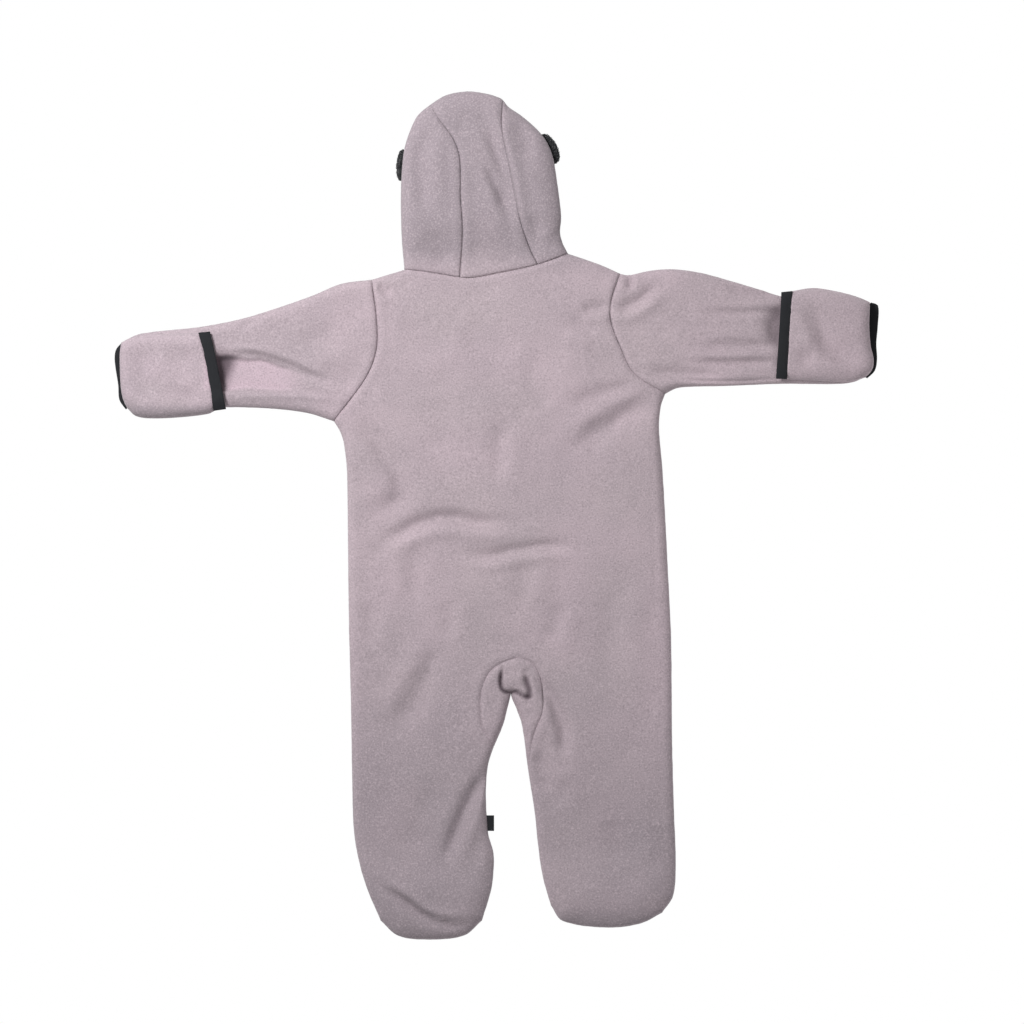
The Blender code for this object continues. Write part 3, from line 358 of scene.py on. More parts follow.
FLAP_FOLDS = (
    (((312, 214), (322, 190), (334, 168), (366, 152)), 9, 2.4, -1.4),
    (((300, 156), (322, 160)), 9, 1.2, 0.6),
    (((-350, 172), (-352, 140), (-340, 112)), 12, 1.9, 1.0),
    (((-332, 162), (-300, 150)), 10, 1.4, 0.8),
    (((-322, 120), (-296, 116)), 8, 1.1, 0.6),
)
# Seams that are drawn on a panel: a side seam and the edge of the strip by the zip.
DRAWN_SEAMS = (
    ((154.5, 76), (155.5, 30), (157, -30), (159, -92)),
    ((-7.5, -315), (-6.5, -340), (-9, -366)),
)
# How all folds are scaled, every which point of their paths is used, how far they reach
# and where the bank stands in half widths, how they wander, and how their ends fade.
FOLD_SCALE = 1.7
FOLD_SPACING = 3
FOLD_REACH = 3.2
FOLD_BANK_AT = 1.7
FOLD_WANDER, FOLD_WANDER_SIZE = 0.12, 14
FOLD_FADE, FOLD_LEAST = 0.3, 0.15

# The smooth hollow of the left sleeve beside the flap's band.
RECESS_TOP = ((-290, -236, -208, -183), (160, 158, 149.5, 138))
RECESS_BOTTOM = 123.5
RECESS_START, RECESS_END, RECESS_FADE = -294.0, -172.0, 55.0
RECESS_EDGE = 4.5
RECESS_DEPTH = 5.0
RECESS_CALM = 0.8

DRAWN_HALF_WIDTH = 1.3
DRAWN_DEPTH = 0.5
SEAM_HALF_WIDTH = 1.5
SEAM_DEPTH = 1.1
SEAM_BANK = 0.5
SEAM_BANK_AT, SEAM_BANK_WIDTH = 6.0, 3.5
UNDER_SEAM_RISE, UNDER_SEAM_HALF_WIDTH = 0.8, 2.0

# Rows of stitches below the neck seam: how far below it, and their share of the depth.
TOPSTITCH_ROWS = ((7.0, 1.0), (1.8, 0.5))
TOPSTITCH_DEPTH, TOPSTITCH_HALF_WIDTH = 0.7, 0.9
STITCH, STITCH_RELIEF = 3.2, 0.35

# Layers of soft bumps: height, size, seed and stretch along Y.
NAP = ((0.08, 6.5, 5, 1.2), (0.09, 3.1, 8, 1.3))
NAP_RISE = 0.34
BILLOW = ((0.7, 62, 1, 1), (0.45, 27, 2, 1), (0.2, 13, 6, 1))
FLAP_BILLOW = ((0.6, 24, 21, 1), (0.3, 11, 22, 1))

# Where the cloth is greyer or darker: the share, and the ramps that fade it in, each
# with its axis, start and full value. Part of it is worn cloth, and part is painted shade.
# Greyer legs and feet, partly worn cloth and partly painted shade, and painted shade along the right
# foot's lower edge.
WEAR_AND_SHADE_AREAS = (
    (0.5, (("y", -60, -320),)),
    (0.2, (("y", -150, -210), ("x", 10, -20))),
    (0.25, (("y", -320, -380), ("x", -20, -80))),
    (0.4, (("y", -388, -402), ("x", 30, 60))),
)
# Painted shade along the left mitten's lower edge, and greyer cloth towards the left sleeve's end.
CUFF_WEAR_AND_SHADE = (
    (0.5, (("y", 114, 102), ("x", -275, -283))),
    (0.3, (("x", -150, -190),)),
)
# Painted shadows in the right pocket's mouth, beside the flap's band.
POCKET_SHADES = (
    (0.65, (("x", 264, 282), ("y", 214, 206), ("y", 164, 174))),
    (0.35, (("x", 274, 283), ("y", 160, 154), ("y", 146, 152))),
)
# The heights of the left pocket, and where its painted shadow beside the band ends at them.
POCKET_LEFT = ((122, 164), (-265.05, -250.35))
POCKET_FADE = 15.0
# The height of the left sole's upper edge along X, below which the sole is painted in shade.
SOLE_LEFT = ((-118, -91, -72.5, -49, -18), (-369, -387, -401, -409, -409))
# The depth of a pinched fold whose painted shade is full.
PINCHED = 4.2

# Linear colours: the nap, its pinker tone, its grey tone for worn cloth and painted shade, the
# painted shade of pinched folds and pocket mouths, and the trims.
FLEECE = (0.475, 0.393, 0.425)
FLEECE_PINK = (0.565, 0.44, 0.50)
FLEECE_GREY = (0.325, 0.278, 0.308)
FLEECE_SHADE = (0.085, 0.060, 0.075)
BINDING = (0.014, 0.015, 0.018)
BINDING_RIB = (0.030, 0.031, 0.035)
PILE = (0.012, 0.013, 0.016)
PILE_TIP = (0.045, 0.047, 0.052)
ENAMEL = (0.30, 0.30, 0.31)
FULL_SHADE = 0.85

# The studio, in metres and watts. The sensor's width is in millimetres.
FLOOR_HALF_SIZE, FLOOR_BELOW = 4.0, 0.0004
WORLD_STRENGTH = 0.3
LIGHTS = (
    # name, place, size, power
    ("key", (-0.78, 0.82, 1.28), 0.42, 24.2),
    ("fill", (0.9, -0.6, 1.8), 1.2, 3.0),
)
CAMERA_HEIGHT = 8.0
PICTURE_WIDTH, PICTURE_CENTRE = 1.024, (0.0155, 0.0035)
SENSOR = 36.0

# Cut sizes: width and length of each sheet's cut, and its area where not a rectangle.
CUTS = {
    "back": (0.345, 0.685, 0.197),
    "front_left": (0.180, 0.670, 0.087),
    "front_right": (0.215, 0.680, 0.103),
    "gusset": (0.125, 0.110, 0.0103),
    "sleeve_left": (0.285, 0.260, 0.052),
    "sleeve_right": (0.285, 0.260, 0.053),
    "hood_centre": (0.085, 0.235, 0.0141),
    "hood_left": (0.135, 0.200, 0.0187),
    "hood_right": (0.120, 0.200, 0.0147),
    "mitt_flap_left": (0.098, 0.090, 0.0081),
    "mitt_flap_right": (0.090, 0.096, 0.0083),
}


def as_points(table):
    """A table of plan points as numbers."""
    return np.array(table, float)


def smooth(table):
    """A smooth curve through the points, with a point about every millimetre."""
    points = as_points(table)
    first, last = 2 * points[0] - points[1], 2 * points[-1] - points[-2]
    ring = np.concatenate(([first], points, [last]))
    reach = np.linalg.norm(np.diff(ring, axis=0), axis=1)
    pieces = []
    for k in range(1, len(ring) - 2):
        start, end = ring[k], ring[k + 1]
        leave = (end - ring[k - 1]) * reach[k] / (reach[k] + reach[k - 1])
        arrive = (ring[k + 2] - start) * reach[k] / (reach[k] + reach[k + 1])
        t = np.linspace(0, 1, max(2, int(reach[k] / FINE) + 1), endpoint=False)[:, None]
        pieces.append(
            start * (1 + 2 * t) * (1 - t) ** 2
            + leave * t * (1 - t) ** 2
            + end * t**2 * (3 - 2 * t)
            + arrive * t**2 * (t - 1)
        )
    return np.concatenate((*pieces, points[-1:]))


def lengths(points):
    """How far along the line each of its points lies, from 0 to 1."""
    far = np.concatenate(([0.0], np.cumsum(np.linalg.norm(np.diff(points, axis=0), axis=1))))
    return far / far[-1]


def line_length(line):
    """The length of a line through these points."""
    return float(np.linalg.norm(np.diff(line, axis=0), axis=1).sum())


def sample(line, fractions):
    """Points of a fine line at these fractions of its length."""
    far = lengths(line)
    return np.stack([np.interp(fractions, far, line[:, k]) for k in (0, 1)], axis=1)


def along(table, fractions):
    """Points of the smooth curve through a table, at these fractions of its length."""
    return sample(smooth(table), fractions)


def part_of(line, axis, start, end):
    """The stretch of a fine line where this coordinate runs from start to end."""
    value = line[:, axis]
    if value[0] > value[-1]:
        line, value = line[::-1], value[::-1]
    other = line[:, 1 - axis]
    places = np.linspace(start, end, max(3, int(abs(end - start) / FINE)))
    across = np.interp(places, value, other)
    return np.stack([places, across] if axis == 0 else [across, places], axis=1)


def joined(*lines):
    """Lines that follow each other as one, without the points that they share."""
    return np.concatenate([lines[0], *[line[1:] for line in lines[1:]]])


def steps(length, rolled_start=0.0, rolled_end=0.0):
    """Fractions from 0 to 1 a grid step apart, closer where an end is rolled."""
    turns = np.linspace(0, math.pi / 2, 8)
    start = rolled_start * (1 - np.cos(turns)) if rolled_start else np.zeros(1)
    end = length - rolled_end * (1 - np.cos(turns))[::-1] if rolled_end else np.array([length])
    count = max(2, int((end[0] - start[-1]) / GRID) + 2)
    middle = np.linspace(start[-1], end[0], count)
    return np.concatenate((start[:-1], middle, end[1:])) / length


def patch(top, bottom, left, right, across, down):
    """Plan points that fill the space inside four edges, all given by the same
    fractions: across for top and bottom, down for left and right."""
    u, v = across[None, :, None], down[:, None, None]
    rows = (1 - v) * top[None] + v * bottom[None]
    columns = (1 - u) * left[:, None] + u * right[:, None]
    corners = (
        (1 - u) * (1 - v) * top[0] + u * (1 - v) * top[-1]
        + (1 - u) * v * bottom[0] + u * v * bottom[-1]
    )
    return rows + columns - corners


class Lines:
    """Fine lines, and how far from the nearest of them a plan point lies."""

    def __init__(self, lines):
        self.points = np.concatenate(lines)
        ends = np.cumsum([len(line) for line in lines])
        number = np.arange(len(self.points))
        self.after = np.where(np.isin(number, ends - 1), number, number + 1)
        self.before = np.where(np.isin(number, ends[:-1]) | (number == 0), number, number - 1)
        way = self.points[self.after] - self.points[self.before]
        way /= np.linalg.norm(way, axis=1)[:, None]
        self.inward = np.stack([-way[:, 1], way[:, 0]], axis=1)
        for end in ends - 1:
            for start in (0, *ends[:-1]):
                if np.linalg.norm(self.points[end] - self.points[start]) < WELD:
                    both = self.inward[end] + self.inward[start]
                    self.inward[[end, start]] = both / np.linalg.norm(both)
        self.tree = KDTree(len(self.points))
        for k, (x, y) in enumerate(self.points):
            self.tree.insert((x, y, 0), k)
        self.tree.balance()

    def measure(self, plan):
        """Distance, below zero to the line's right, and the direction away from it."""
        found = np.array([self.tree.find((x, y, 0))[1] for x, y in plan])
        start = self.points[found]
        best = np.full(len(plan), np.inf)
        away = np.zeros_like(plan)
        for other in (self.before, self.after):
            step = self.points[other[found]] - start
            share = ((plan - start) * step).sum(axis=1) / np.maximum((step**2).sum(axis=1), SMALL)
            gap = plan - start - step * np.clip(share, 0, 1)[:, None]
            far = np.linalg.norm(gap, axis=1)
            closer = far < best
            best[closer], away[closer] = far[closer], gap[closer]
        inward = self.inward[found]
        sign = np.where((away * inward).sum(axis=1) >= -SMALL, 1.0, -1.0)
        direction = np.where((best > 0.5)[:, None], away / np.maximum(best, SMALL)[:, None], inward)
        direction = np.where((sign < 0)[:, None], inward, direction)
        return best * sign, direction


EDGE = Lines([smooth(table) for name, table in OUTLINE.items() if name not in MOUTHS])
TOP_SEAMS = Lines(
    [smooth(table) for table in (
        NECK_SEAM, HOOD_SEAM_LEFT, HOOD_SEAM_RIGHT, *ARMHOLES.values(), *GUSSET_SEAMS.values(),
    )]
)
UNDER_SEAMS = Lines(
    [smooth(table) for table in (NECK_SEAM, *ARMHOLES.values(), *GUSSET_SEAMS.values())]
)
NECK = Lines([smooth(NECK_SEAM)])
ZIP = Lines([smooth(ZIP_LINE)])
LATTICE = np.random.default_rng(11).random((97, 89)) * 2 - 1
NOISE_SHIFT = np.array((13.7, 7.3))


def noise(plan, size, seed=0, stretch=1.0):
    """Soft bumps between -1 and 1 of about this size, longer along Y by stretch."""
    place = plan / (size, size * stretch) + NOISE_SHIFT * seed
    cell = np.floor(place).astype(int)
    part = place - cell
    part = part * part * (3 - 2 * part)
    x, y = part[:, 0], part[:, 1]

    def at(i, j):
        wide, high = LATTICE.shape
        return LATTICE[(cell[:, 0] + i) % wide, (cell[:, 1] + j) % high]

    low = at(0, 0) * (1 - x) + at(1, 0) * x
    high = at(0, 1) * (1 - x) + at(1, 1) * x
    return low * (1 - y) + high * y


def bumps(plan, layers, shift=0):
    """Layers of soft bumps. The shift gives other bumps of the same kind."""
    return sum(
        height * noise(plan, size, seed + shift, stretch) for height, size, seed, stretch in layers
    )


def ease(value):
    """A smooth step from 0 to 1."""
    value = np.clip(value, 0, 1)
    return value * value * (3 - 2 * value)


def bell(far, half_width):
    """A soft bump of height 1 at no distance."""
    return np.exp(-((far / half_width) ** 2))


def areas(plan, rows):
    """The sum of some areas of the suit, each faded in by its ramps."""
    total = np.zeros(len(plan))
    for share, ramps in rows:
        term = np.full(len(plan), share)
        for axis, start, full in ramps:
            term *= ease((plan[:, "xy".index(axis)] - start) / (full - start))
        total += term
    return total


def fullness(plan):
    """Half height of the suit and reach of its rolled edge."""
    height = np.full(len(plan), BODY_HEIGHT)
    roll = np.full(len(plan), BODY_ROLL)
    for axis, start, full, region_height, region_roll in REGIONS:
        place = plan[:, 1] if axis == "y" else np.abs(plan[:, 0])
        share = ease((place - start) / (full - start))
        height += (region_height - height) * share
        roll += (region_roll - roll) * share
    return height, roll


def trough(plan, path, half_width, depth, bank):
    """How far one fold lowers the cloth: a soft trough that fades at its ends."""
    line = smooth(path)
    lowered = np.zeros(len(plan))
    reach = FOLD_REACH * half_width
    low, high = line.min(axis=0) - reach, line.max(axis=0) + reach
    inside = np.flatnonzero(((plan > low) & (plan < high)).all(axis=1))
    if len(inside) == 0:
        return lowered
    points = plan[inside] + FOLD_WANDER * half_width * np.stack(
        [noise(plan[inside], FOLD_WANDER_SIZE, seed) for seed in (3, 4)], axis=1
    )
    coarse = line[::FOLD_SPACING]
    gaps = points[:, None] - coarse[None]
    nearest = (gaps**2).sum(axis=2).argmin(axis=1)
    gap = gaps[np.arange(len(inside)), nearest]
    way = np.gradient(coarse, axis=0)[nearest]
    step = np.linalg.norm(way, axis=1)
    way /= step[:, None]
    beyond = np.clip((gap * way).sum(axis=1), -step / 2, step / 2)
    far = np.linalg.norm(gap - way * beyond[:, None], axis=1)
    left = np.where(way[:, 0] * gap[:, 1] - way[:, 1] * gap[:, 0] >= 0, 1.0, -1.0)
    share = (nearest + beyond / step) / max(1, len(coarse) - 1)
    fade = ease(share / FOLD_FADE) * ease((1 - share) / FOLD_FADE)
    fade = FOLD_LEAST + (1 - FOLD_LEAST) * fade
    side = left * math.copysign(1, bank)
    raised = abs(bank) * bell(far * side - FOLD_BANK_AT * half_width, half_width)
    lowered[inside] = FOLD_SCALE * fade * (depth * bell(far, half_width) - raised)
    return lowered


def folds(plan, tables):
    """How far all folds of some tables lower the cloth."""
    return sum(trough(plan, *row) for table in tables for row in table)


def recess(plan):
    """How far into the smooth hollow of the left sleeve, from 0 to 1."""
    x, y = plan[:, 0], plan[:, 1] + 1.3 * noise(plan, 17, 51)
    below_top = ease((np.interp(x, *RECESS_TOP) - y) / RECESS_EDGE)
    high = below_top * ease((y - RECESS_BOTTOM) / RECESS_EDGE)
    return high * ease((RECESS_END - x) / RECESS_FADE) * ease((x - RECESS_START) / RECESS_EDGE)


def drawn_seams(plan):
    """How far the seams that are drawn on a panel lower it."""
    lowered = np.zeros(len(plan))
    for path in DRAWN_SEAMS:
        line = smooth(path)
        near = np.sqrt(((plan[:, None] - line[None]) ** 2).sum(axis=2).min(axis=1))
        lowered += DRAWN_DEPTH * bell(near, DRAWN_HALF_WIDTH)
    return lowered


def seam_dip(far):
    """How far a seam lowers the cloth beside it."""
    bank = SEAM_BANK * bell(np.abs(far) - SEAM_BANK_AT, SEAM_BANK_WIDTH)
    return SEAM_DEPTH * bell(far, SEAM_HALF_WIDTH) - bank


def topstitch(plan):
    """Two rows of stitches below the neck seam, which pull the cloth down."""
    far, _ = NECK.measure(plan)
    stitches = 1 - STITCH_RELIEF + STITCH_RELIEF * np.cos(plan[:, 0] * math.tau / STITCH)
    rows = sum(share * bell(-far - below, TOPSTITCH_HALF_WIDTH) for below, share in TOPSTITCH_ROWS)
    return TOPSTITCH_DEPTH * rows * stitches


def channel(plan):
    """How far the front is raised beside the zip."""
    far, _ = ZIP.measure(plan)
    fade = (np.abs(far) - ZIP_CHANNEL_FLAT) / (ZIP_CHANNEL_REACH - ZIP_CHANNEL_FLAT)
    return ZIP_CHANNEL * (1 - ease(fade))


def lift(plan, side, tables=()):
    """Plan points on the suit's outside. side is 1 for the back and -1 for the front."""
    far, inward = EDGE.measure(plan)
    height, roll = fullness(plan)
    turn = np.clip(1 - far / roll, 0, 1)
    rise = np.sqrt(1 - turn**2)
    if side > 0:
        dip, _ = TOP_SEAMS.measure(plan)
        lowered = folds(plan, tables) + seam_dip(dip) + drawn_seams(plan) + topstitch(plan)
        lowered += RECESS_DEPTH * recess(plan)
        z = height + (height - lowered + bumps(plan, BILLOW)) * rise
        rough = bumps(plan, NAP, side) * (1 - RECESS_CALM * recess(plan))
    else:
        dip, _ = UNDER_SEAMS.measure(plan)
        raised = channel(plan) + UNDER_SEAM_RISE * bell(dip, UNDER_SEAM_HALF_WIDTH)
        z = height - (height - raised) * rise
        rough = bumps(plan, NAP, side) - NAP_RISE
    point = np.concatenate([plan, z[:, None]], axis=1)
    normal = np.concatenate([-inward * turn[:, None], side * rise[:, None]], axis=1)
    return point + normal * rough[:, None]


def flap_lift(side_name):
    """Lifts plan points onto a mitten flap, which lies over its sleeve."""
    shape = FLAPS[side_name]
    free = Lines([smooth(shape[name]) for name in ("upper", "end", "lower")])

    def lifted(plan, _, tables=()):
        height, _ = fullness(plan)
        far, _ = EDGE.measure(plan)
        turn = np.clip(1 - np.maximum(far + FLAP_SPREAD, 0) / (BODY_ROLL + FLAP_SPREAD), 0, 1)
        base = height + height * np.sqrt(1 - turn**2)
        edge = np.abs(free.measure(plan)[0])
        air = np.clip(1 - edge / FLAP_AIR_REACH, 0, 1)
        drop = np.clip(1 - edge / FLAP_DROP_REACH, 0, 1)
        top = base + FLAP_CLEAR + FLAP_WALL + FLAP_AIR * np.sqrt(1 - air**2)
        top -= FLAP_DROP * (1 - np.sqrt(1 - drop**2))
        loose = 1 - drop
        top += (bumps(plan, FLAP_BILLOW) - folds(plan, tables)) * loose
        top = np.maximum(top, FLAP_LOWEST) + bumps(plan, NAP, 1)
        return np.concatenate([plan, top[:, None]], axis=1)

    return lifted


def pinkness(plan, hollow):
    """Where the nap is smooth and shows pinker, from 0 to 1."""
    x, y = plan[:, 0], plan[:, 1]
    mitten = ease((-268 - x) / 14) * (0.25 + 0.3 * noise(plan, 22, 31))
    flap_right = ease((x - 280) / 14) * 0.15
    hood = 0.3 * bell(x + 74, 9) * bell(y - 352, 32)
    patchy = 0.22 + 0.22 * noise(plan, 46, 32)
    return np.clip(np.maximum.reduce([1.2 * hollow, mitten, flap_right, hood, patchy]), 0, 1)


def wear_and_painted_shade(plan, hollow):
    """Where the cloth is greyer, from 0 to 1: partly worn cloth, partly painted shade."""
    x, y = plan[:, 0], plan[:, 1]
    foot = 0.35 * bell(x - 152, 42) * bell(y + 345, 55) * (0.8 + 0.4 * noise(plan, 19, 41))
    # Painted shade on the left sole's roll, below its crease.
    sole = 0.9 * ease((np.interp(x, *SOLE_LEFT) - y) / 8) * ease((30 - x) / 30)
    # Painted shade that darkens the hood, most towards its sides.
    hood = (0.75 + 0.25 * ease(np.abs(x + 5) / 40)) * ease((y - 235) / 40)
    patchy = 0.12 + 0.16 * noise(plan, 38, 42)
    cuff = areas(plan, CUFF_WEAR_AND_SHADE)
    outside_hollow = 1 - 0.9 * hollow
    return np.clip(foot + areas(plan, WEAR_AND_SHADE_AREAS) + sole + hood + (cuff + patchy) * outside_hollow, 0, 1)


def painted_shade_mask(plan):
    """Where painted shade darkens cloth that is pinched or tucked under a band, from 0 to 1."""
    x, y = plan[:, 0], plan[:, 1]
    pinched = folds(plan, (CROTCH_FOLDS,)) / PINCHED
    # Painted shadow in the left pocket's mouth, beside the flap's band.
    left = ease((np.interp(y, *POCKET_LEFT) - x) / POCKET_FADE)
    left *= ease((POCKET_LEFT[0][1] - y) / 6) * ease((y - POCKET_LEFT[0][0]) / 3)
    return np.clip(np.maximum.reduce([pinched, left, areas(plan, POCKET_SHADES)]), 0, 1)


def new_material(name, roughness, sheen=0.0):
    """A material with its shader, and a helper that adds a node to it."""
    made = bpy.data.materials.new(name)
    made.use_nodes = True
    tree = made.node_tree
    shader = tree.nodes["Principled BSDF"]
    shader.inputs["Roughness"].default_value = roughness
    shader.inputs["Sheen Weight"].default_value = sheen
    shader.inputs["Sheen Roughness"].default_value = 0.5
    shader.inputs["Specular IOR Level"].default_value = 0.25

    def add(kind, links=(), **values):
        node = tree.nodes.new(kind)
        for key, value in values.items():
            if key in node.inputs:
                node.inputs[key].default_value = value
            else:
                setattr(node, key, value)
        for socket, source in dict(links).items():
            tree.links.new(source, node.inputs[socket])
        return node

    def link(source, socket):
        tree.links.new(source, shader.inputs[socket])

    return made, add, link


def mixed(add, factor, first, second):
    """A colour mix. Each input is a colour or another node's output."""
    node = add("ShaderNodeMix", data_type="RGBA")
    sockets = {"factor": node.inputs[0], "first": node.inputs[6], "second": node.inputs[7]}
    for name, value in (("factor", factor), ("first", first), ("second", second)):
        if isinstance(value, bpy.types.NodeSocket):
            node.id_data.links.new(value, sockets[name])
        elif name == "factor":
            sockets[name].default_value = value
        else:
            sockets[name].default_value = (*value, 1)
    return node.outputs[2]


def spread(add, source, low, high, to_low=0.0, to_high=1.0):
    """Stretches a value's range."""
    node = add("ShaderNodeMapRange", {"Value": source})
    for name, value in (
        ("From Min", low), ("From Max", high), ("To Min", to_low), ("To Max", to_high),
    ):
        node.inputs[name].default_value = value
    return node.outputs["Result"]


def textured(add, scale, detail=2.0, stretch=1.0):
    """Noise over the object's own coordinates, in bumps per metre."""
    place = add("ShaderNodeTexCoord").outputs["Object"]
    if stretch != 1.0:
        place = add("ShaderNodeMapping", {"Vector": place}, Scale=(1, 1 / stretch, 1)).outputs[0]
    node = add("ShaderNodeTexNoise", {"Vector": place}, Scale=scale, Detail=detail)
    return node.outputs["Fac"]


def striped(add, scale, direction, distortion=0.0):
    """Even stripes across the object's own coordinates."""
    place = add("ShaderNodeTexCoord").outputs["Object"]
    node = add(
        "ShaderNodeTexWave", {"Vector": place}, Scale=scale, Distortion=distortion,
        bands_direction=direction,
    )
    return node.outputs["Fac"]


def bumped(add, height, strength, distance, below=None):
    """A bump of this height, on top of the bump below it."""
    links = {"Height": height}
    if below is not None:
        links["Normal"] = below
    return add("ShaderNodeBump", links, Strength=strength, Distance=distance).outputs["Normal"]


def fleece_material(name, colour, bump=1.0):
    """Short pebbled nap: mottled colour, fine grain, soft sheen, and painted shade from the piece's
    tones.
    """
    made, add, link = new_material(name, 0.95, 0.18)
    pink, grey, shade = (
        add("ShaderNodeAttribute", attribute_name=tone).outputs["Fac"]
        for tone in ("pink", "grey", "shade")
    )
    base = mixed(add, pink, colour, FLEECE_PINK)
    # The grey tone: worn cloth and painted shade.
    base = mixed(add, spread(add, grey, 0, 1, 0, FULL_SHADE), base, FLEECE_GREY)
    cloud = textured(add, 55, 3)
    base = mixed(add, spread(add, cloud, 0.35, 0.7, 0, 0.16), base, FLEECE_GREY)
    grain = textured(add, 620, 3)
    hair = textured(add, 1700, 2, 1.5)
    dark = tuple(value * 0.5 for value in colour)
    light = tuple(min(1, value * 1.5) for value in colour)
    base = mixed(add, spread(add, grain, 0.48, 0.28, 0, 0.5), base, dark)
    base = mixed(add, spread(add, grain, 0.52, 0.72, 0, 0.45), base, light)
    base = mixed(add, spread(add, hair, 0.58, 0.75, 0, 0.4), base, light)
    # Painted shade of pinched folds and pocket mouths.
    base = mixed(add, spread(add, shade, 0, 1, 0, FULL_SHADE), base, FLEECE_SHADE)
    link(base, "Base Color")
    normal = bumped(add, grain, 0.35 * bump, 0.0012)
    link(bumped(add, hair, 0.3 * bump, 0.0005, normal), "Normal")
    return made


def binding_material():
    """Charcoal elastic with fine ribs along it and a slight satin gloss."""
    made, add, link = new_material("elastic_binding", 0.8)
    ribs = striped(add, 380, "X", 1.5)
    fuzz = textured(add, 900, 3)
    tone = mixed(add, spread(add, ribs, 0.2, 1, 0, 0.7), BINDING, BINDING_RIB)
    link(mixed(add, spread(add, fuzz, 0.55, 0.8, 0, 0.5), tone, BINDING_RIB), "Base Color")
    link(bumped(add, fuzz, 0.4, 0.0003, bumped(add, ribs, 0.5, 0.0003)), "Normal")
    return made


def pile_material():
    """Charcoal curls with lighter flecks."""
    made, add, link = new_material("curly_pile", 0.85, 0.4)
    fuzz = textured(add, 1200, 3)
    link(mixed(add, spread(add, fuzz, 0.45, 0.8, 0, 0.8), PILE, PILE_TIP), "Base Color")
    link(bumped(add, fuzz, 0.7, 0.0004), "Normal")
    return made


def tape_material():
    """Woven charcoal tape with a herringbone of fine threads."""
    made, add, link = new_material("woven_tape", 0.7, 0.05)
    weave = striped(add, 420, "DIAGONAL")
    link(mixed(add, weave, BINDING, BINDING_RIB), "Base Color")
    link(bumped(add, weave, 0.5, 0.0002), "Normal")
    return made


def enamel_material():
    """Satin grey enamel with faint scuffs."""
    made, add, link = new_material("satin_enamel", 0.35)
    made.node_tree.nodes["Principled BSDF"].inputs["Metallic"].default_value = 0.9
    scuff = textured(add, 260, 4)
    worn = tuple(value * 1.5 for value in ENAMEL)
    link(mixed(add, spread(add, scuff, 0.5, 0.75, 0, 0.6), ENAMEL, worn), "Base Color")
    link(spread(add, scuff, 0.3, 0.8, 0.25, 0.5), "Roughness")
    return made


def place_piece(made, nodes):
    """Puts a visible piece in the place of its solids."""
    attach(made, "suit")
    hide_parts(*nodes)


def new_object(name, points, faces, material):
    mesh = bpy.data.meshes.new(name)
    mesh.from_pydata((np.asarray(points) * MM).tolist(), [], faces)
    mesh.materials.append(material)
    made = bpy.data.objects.new(name, mesh)
    bpy.context.scene.collection.objects.link(made)
    return made


def cloth(node, grids, material, lifted=lift, tables=()):
    """One cut piece: its grids of plan points as a thin sheet, lifted and sewn up."""
    points, faces, plans, count = [], [], [], 0
    for grid, side in grids:
        rows, columns = grid.shape[:2]
        plan = grid.reshape(-1, 2)
        points.append(lifted(plan, side, tables))
        plans.append(plan)
        number = np.arange(rows * columns).reshape(rows, columns) + count
        quads = np.stack(
            [number[:-1, :-1], number[:-1, 1:], number[1:, 1:], number[1:, :-1]], axis=2
        ).reshape(-1, 4)
        a, b = grid[:-1, 1:] - grid[:-1, :-1], grid[1:, :-1] - grid[:-1, :-1]
        turn = (a[..., 0] * b[..., 1] - a[..., 1] * b[..., 0]).sum()
        faces.append(quads if turn * side > 0 else quads[:, ::-1])
        count += rows * columns
    plan = np.concatenate(plans)
    top = np.concatenate([np.full(len(part), side > 0) for part, (_, side) in zip(plans, grids)])
    made = new_object(
        node + "_cloth", np.concatenate(points), np.concatenate(faces).tolist(), material
    )
    hollow = recess(plan) * top
    # The tones: pinker cloth, greyer cloth that is partly painted shade, and painted shade on the
    # upper side only.
    tones = {
        "pink": pinkness(plan, hollow), "grey": wear_and_painted_shade(plan, hollow),
        "shade": painted_shade_mask(plan) * top,
    }
    # A flap gets no painted shade.
    if lifted is not lift:
        tones["shade"][:] = 0  # no part of a flap is tucked in
    for name, values in tones.items():
        layer = made.data.attributes.new(name, "FLOAT", "POINT")
        layer.data.foreach_set("value", values.astype(np.float32))
    sewn = bmesh.new()
    sewn.from_mesh(made.data)
    bmesh.ops.remove_doubles(sewn, verts=sewn.verts, dist=WELD * MM)
    bmesh.ops.dissolve_degenerate(sewn, dist=WELD * MM / 10, edges=sewn.edges)
    sewn.to_mesh(made.data)
    sewn.free()
    made.data.shade_smooth()
    shell = made.modifiers.new("wall", "SOLIDIFY")
    shell.thickness = WALL * MM
    shell.offset = -1
    place_piece(made, [node])
    return made


def lay(node):
    width, length, area = CUTS[node]


def shoulder_row(count):
    """The top edge of the back, from one armhole to the other."""
    left = smooth(OUTLINE["shoulder_left"])[::-1]
    right = smooth(OUTLINE["shoulder_right"])[::-1]
    side = max(2, count // 8)
    return joined(
        sample(left, np.linspace(0, 1, side)),
        along(NECK_SEAM, np.linspace(0, 1, count - 2 * side + 2)),
        sample(right, np.linspace(0, 1, side)),
    )


def straight(start, end, fractions):
    """Points of a straight line at these fractions of its length."""
    return as_points(start) * (1 - fractions[:, None]) + as_points(end) * fractions[:, None]


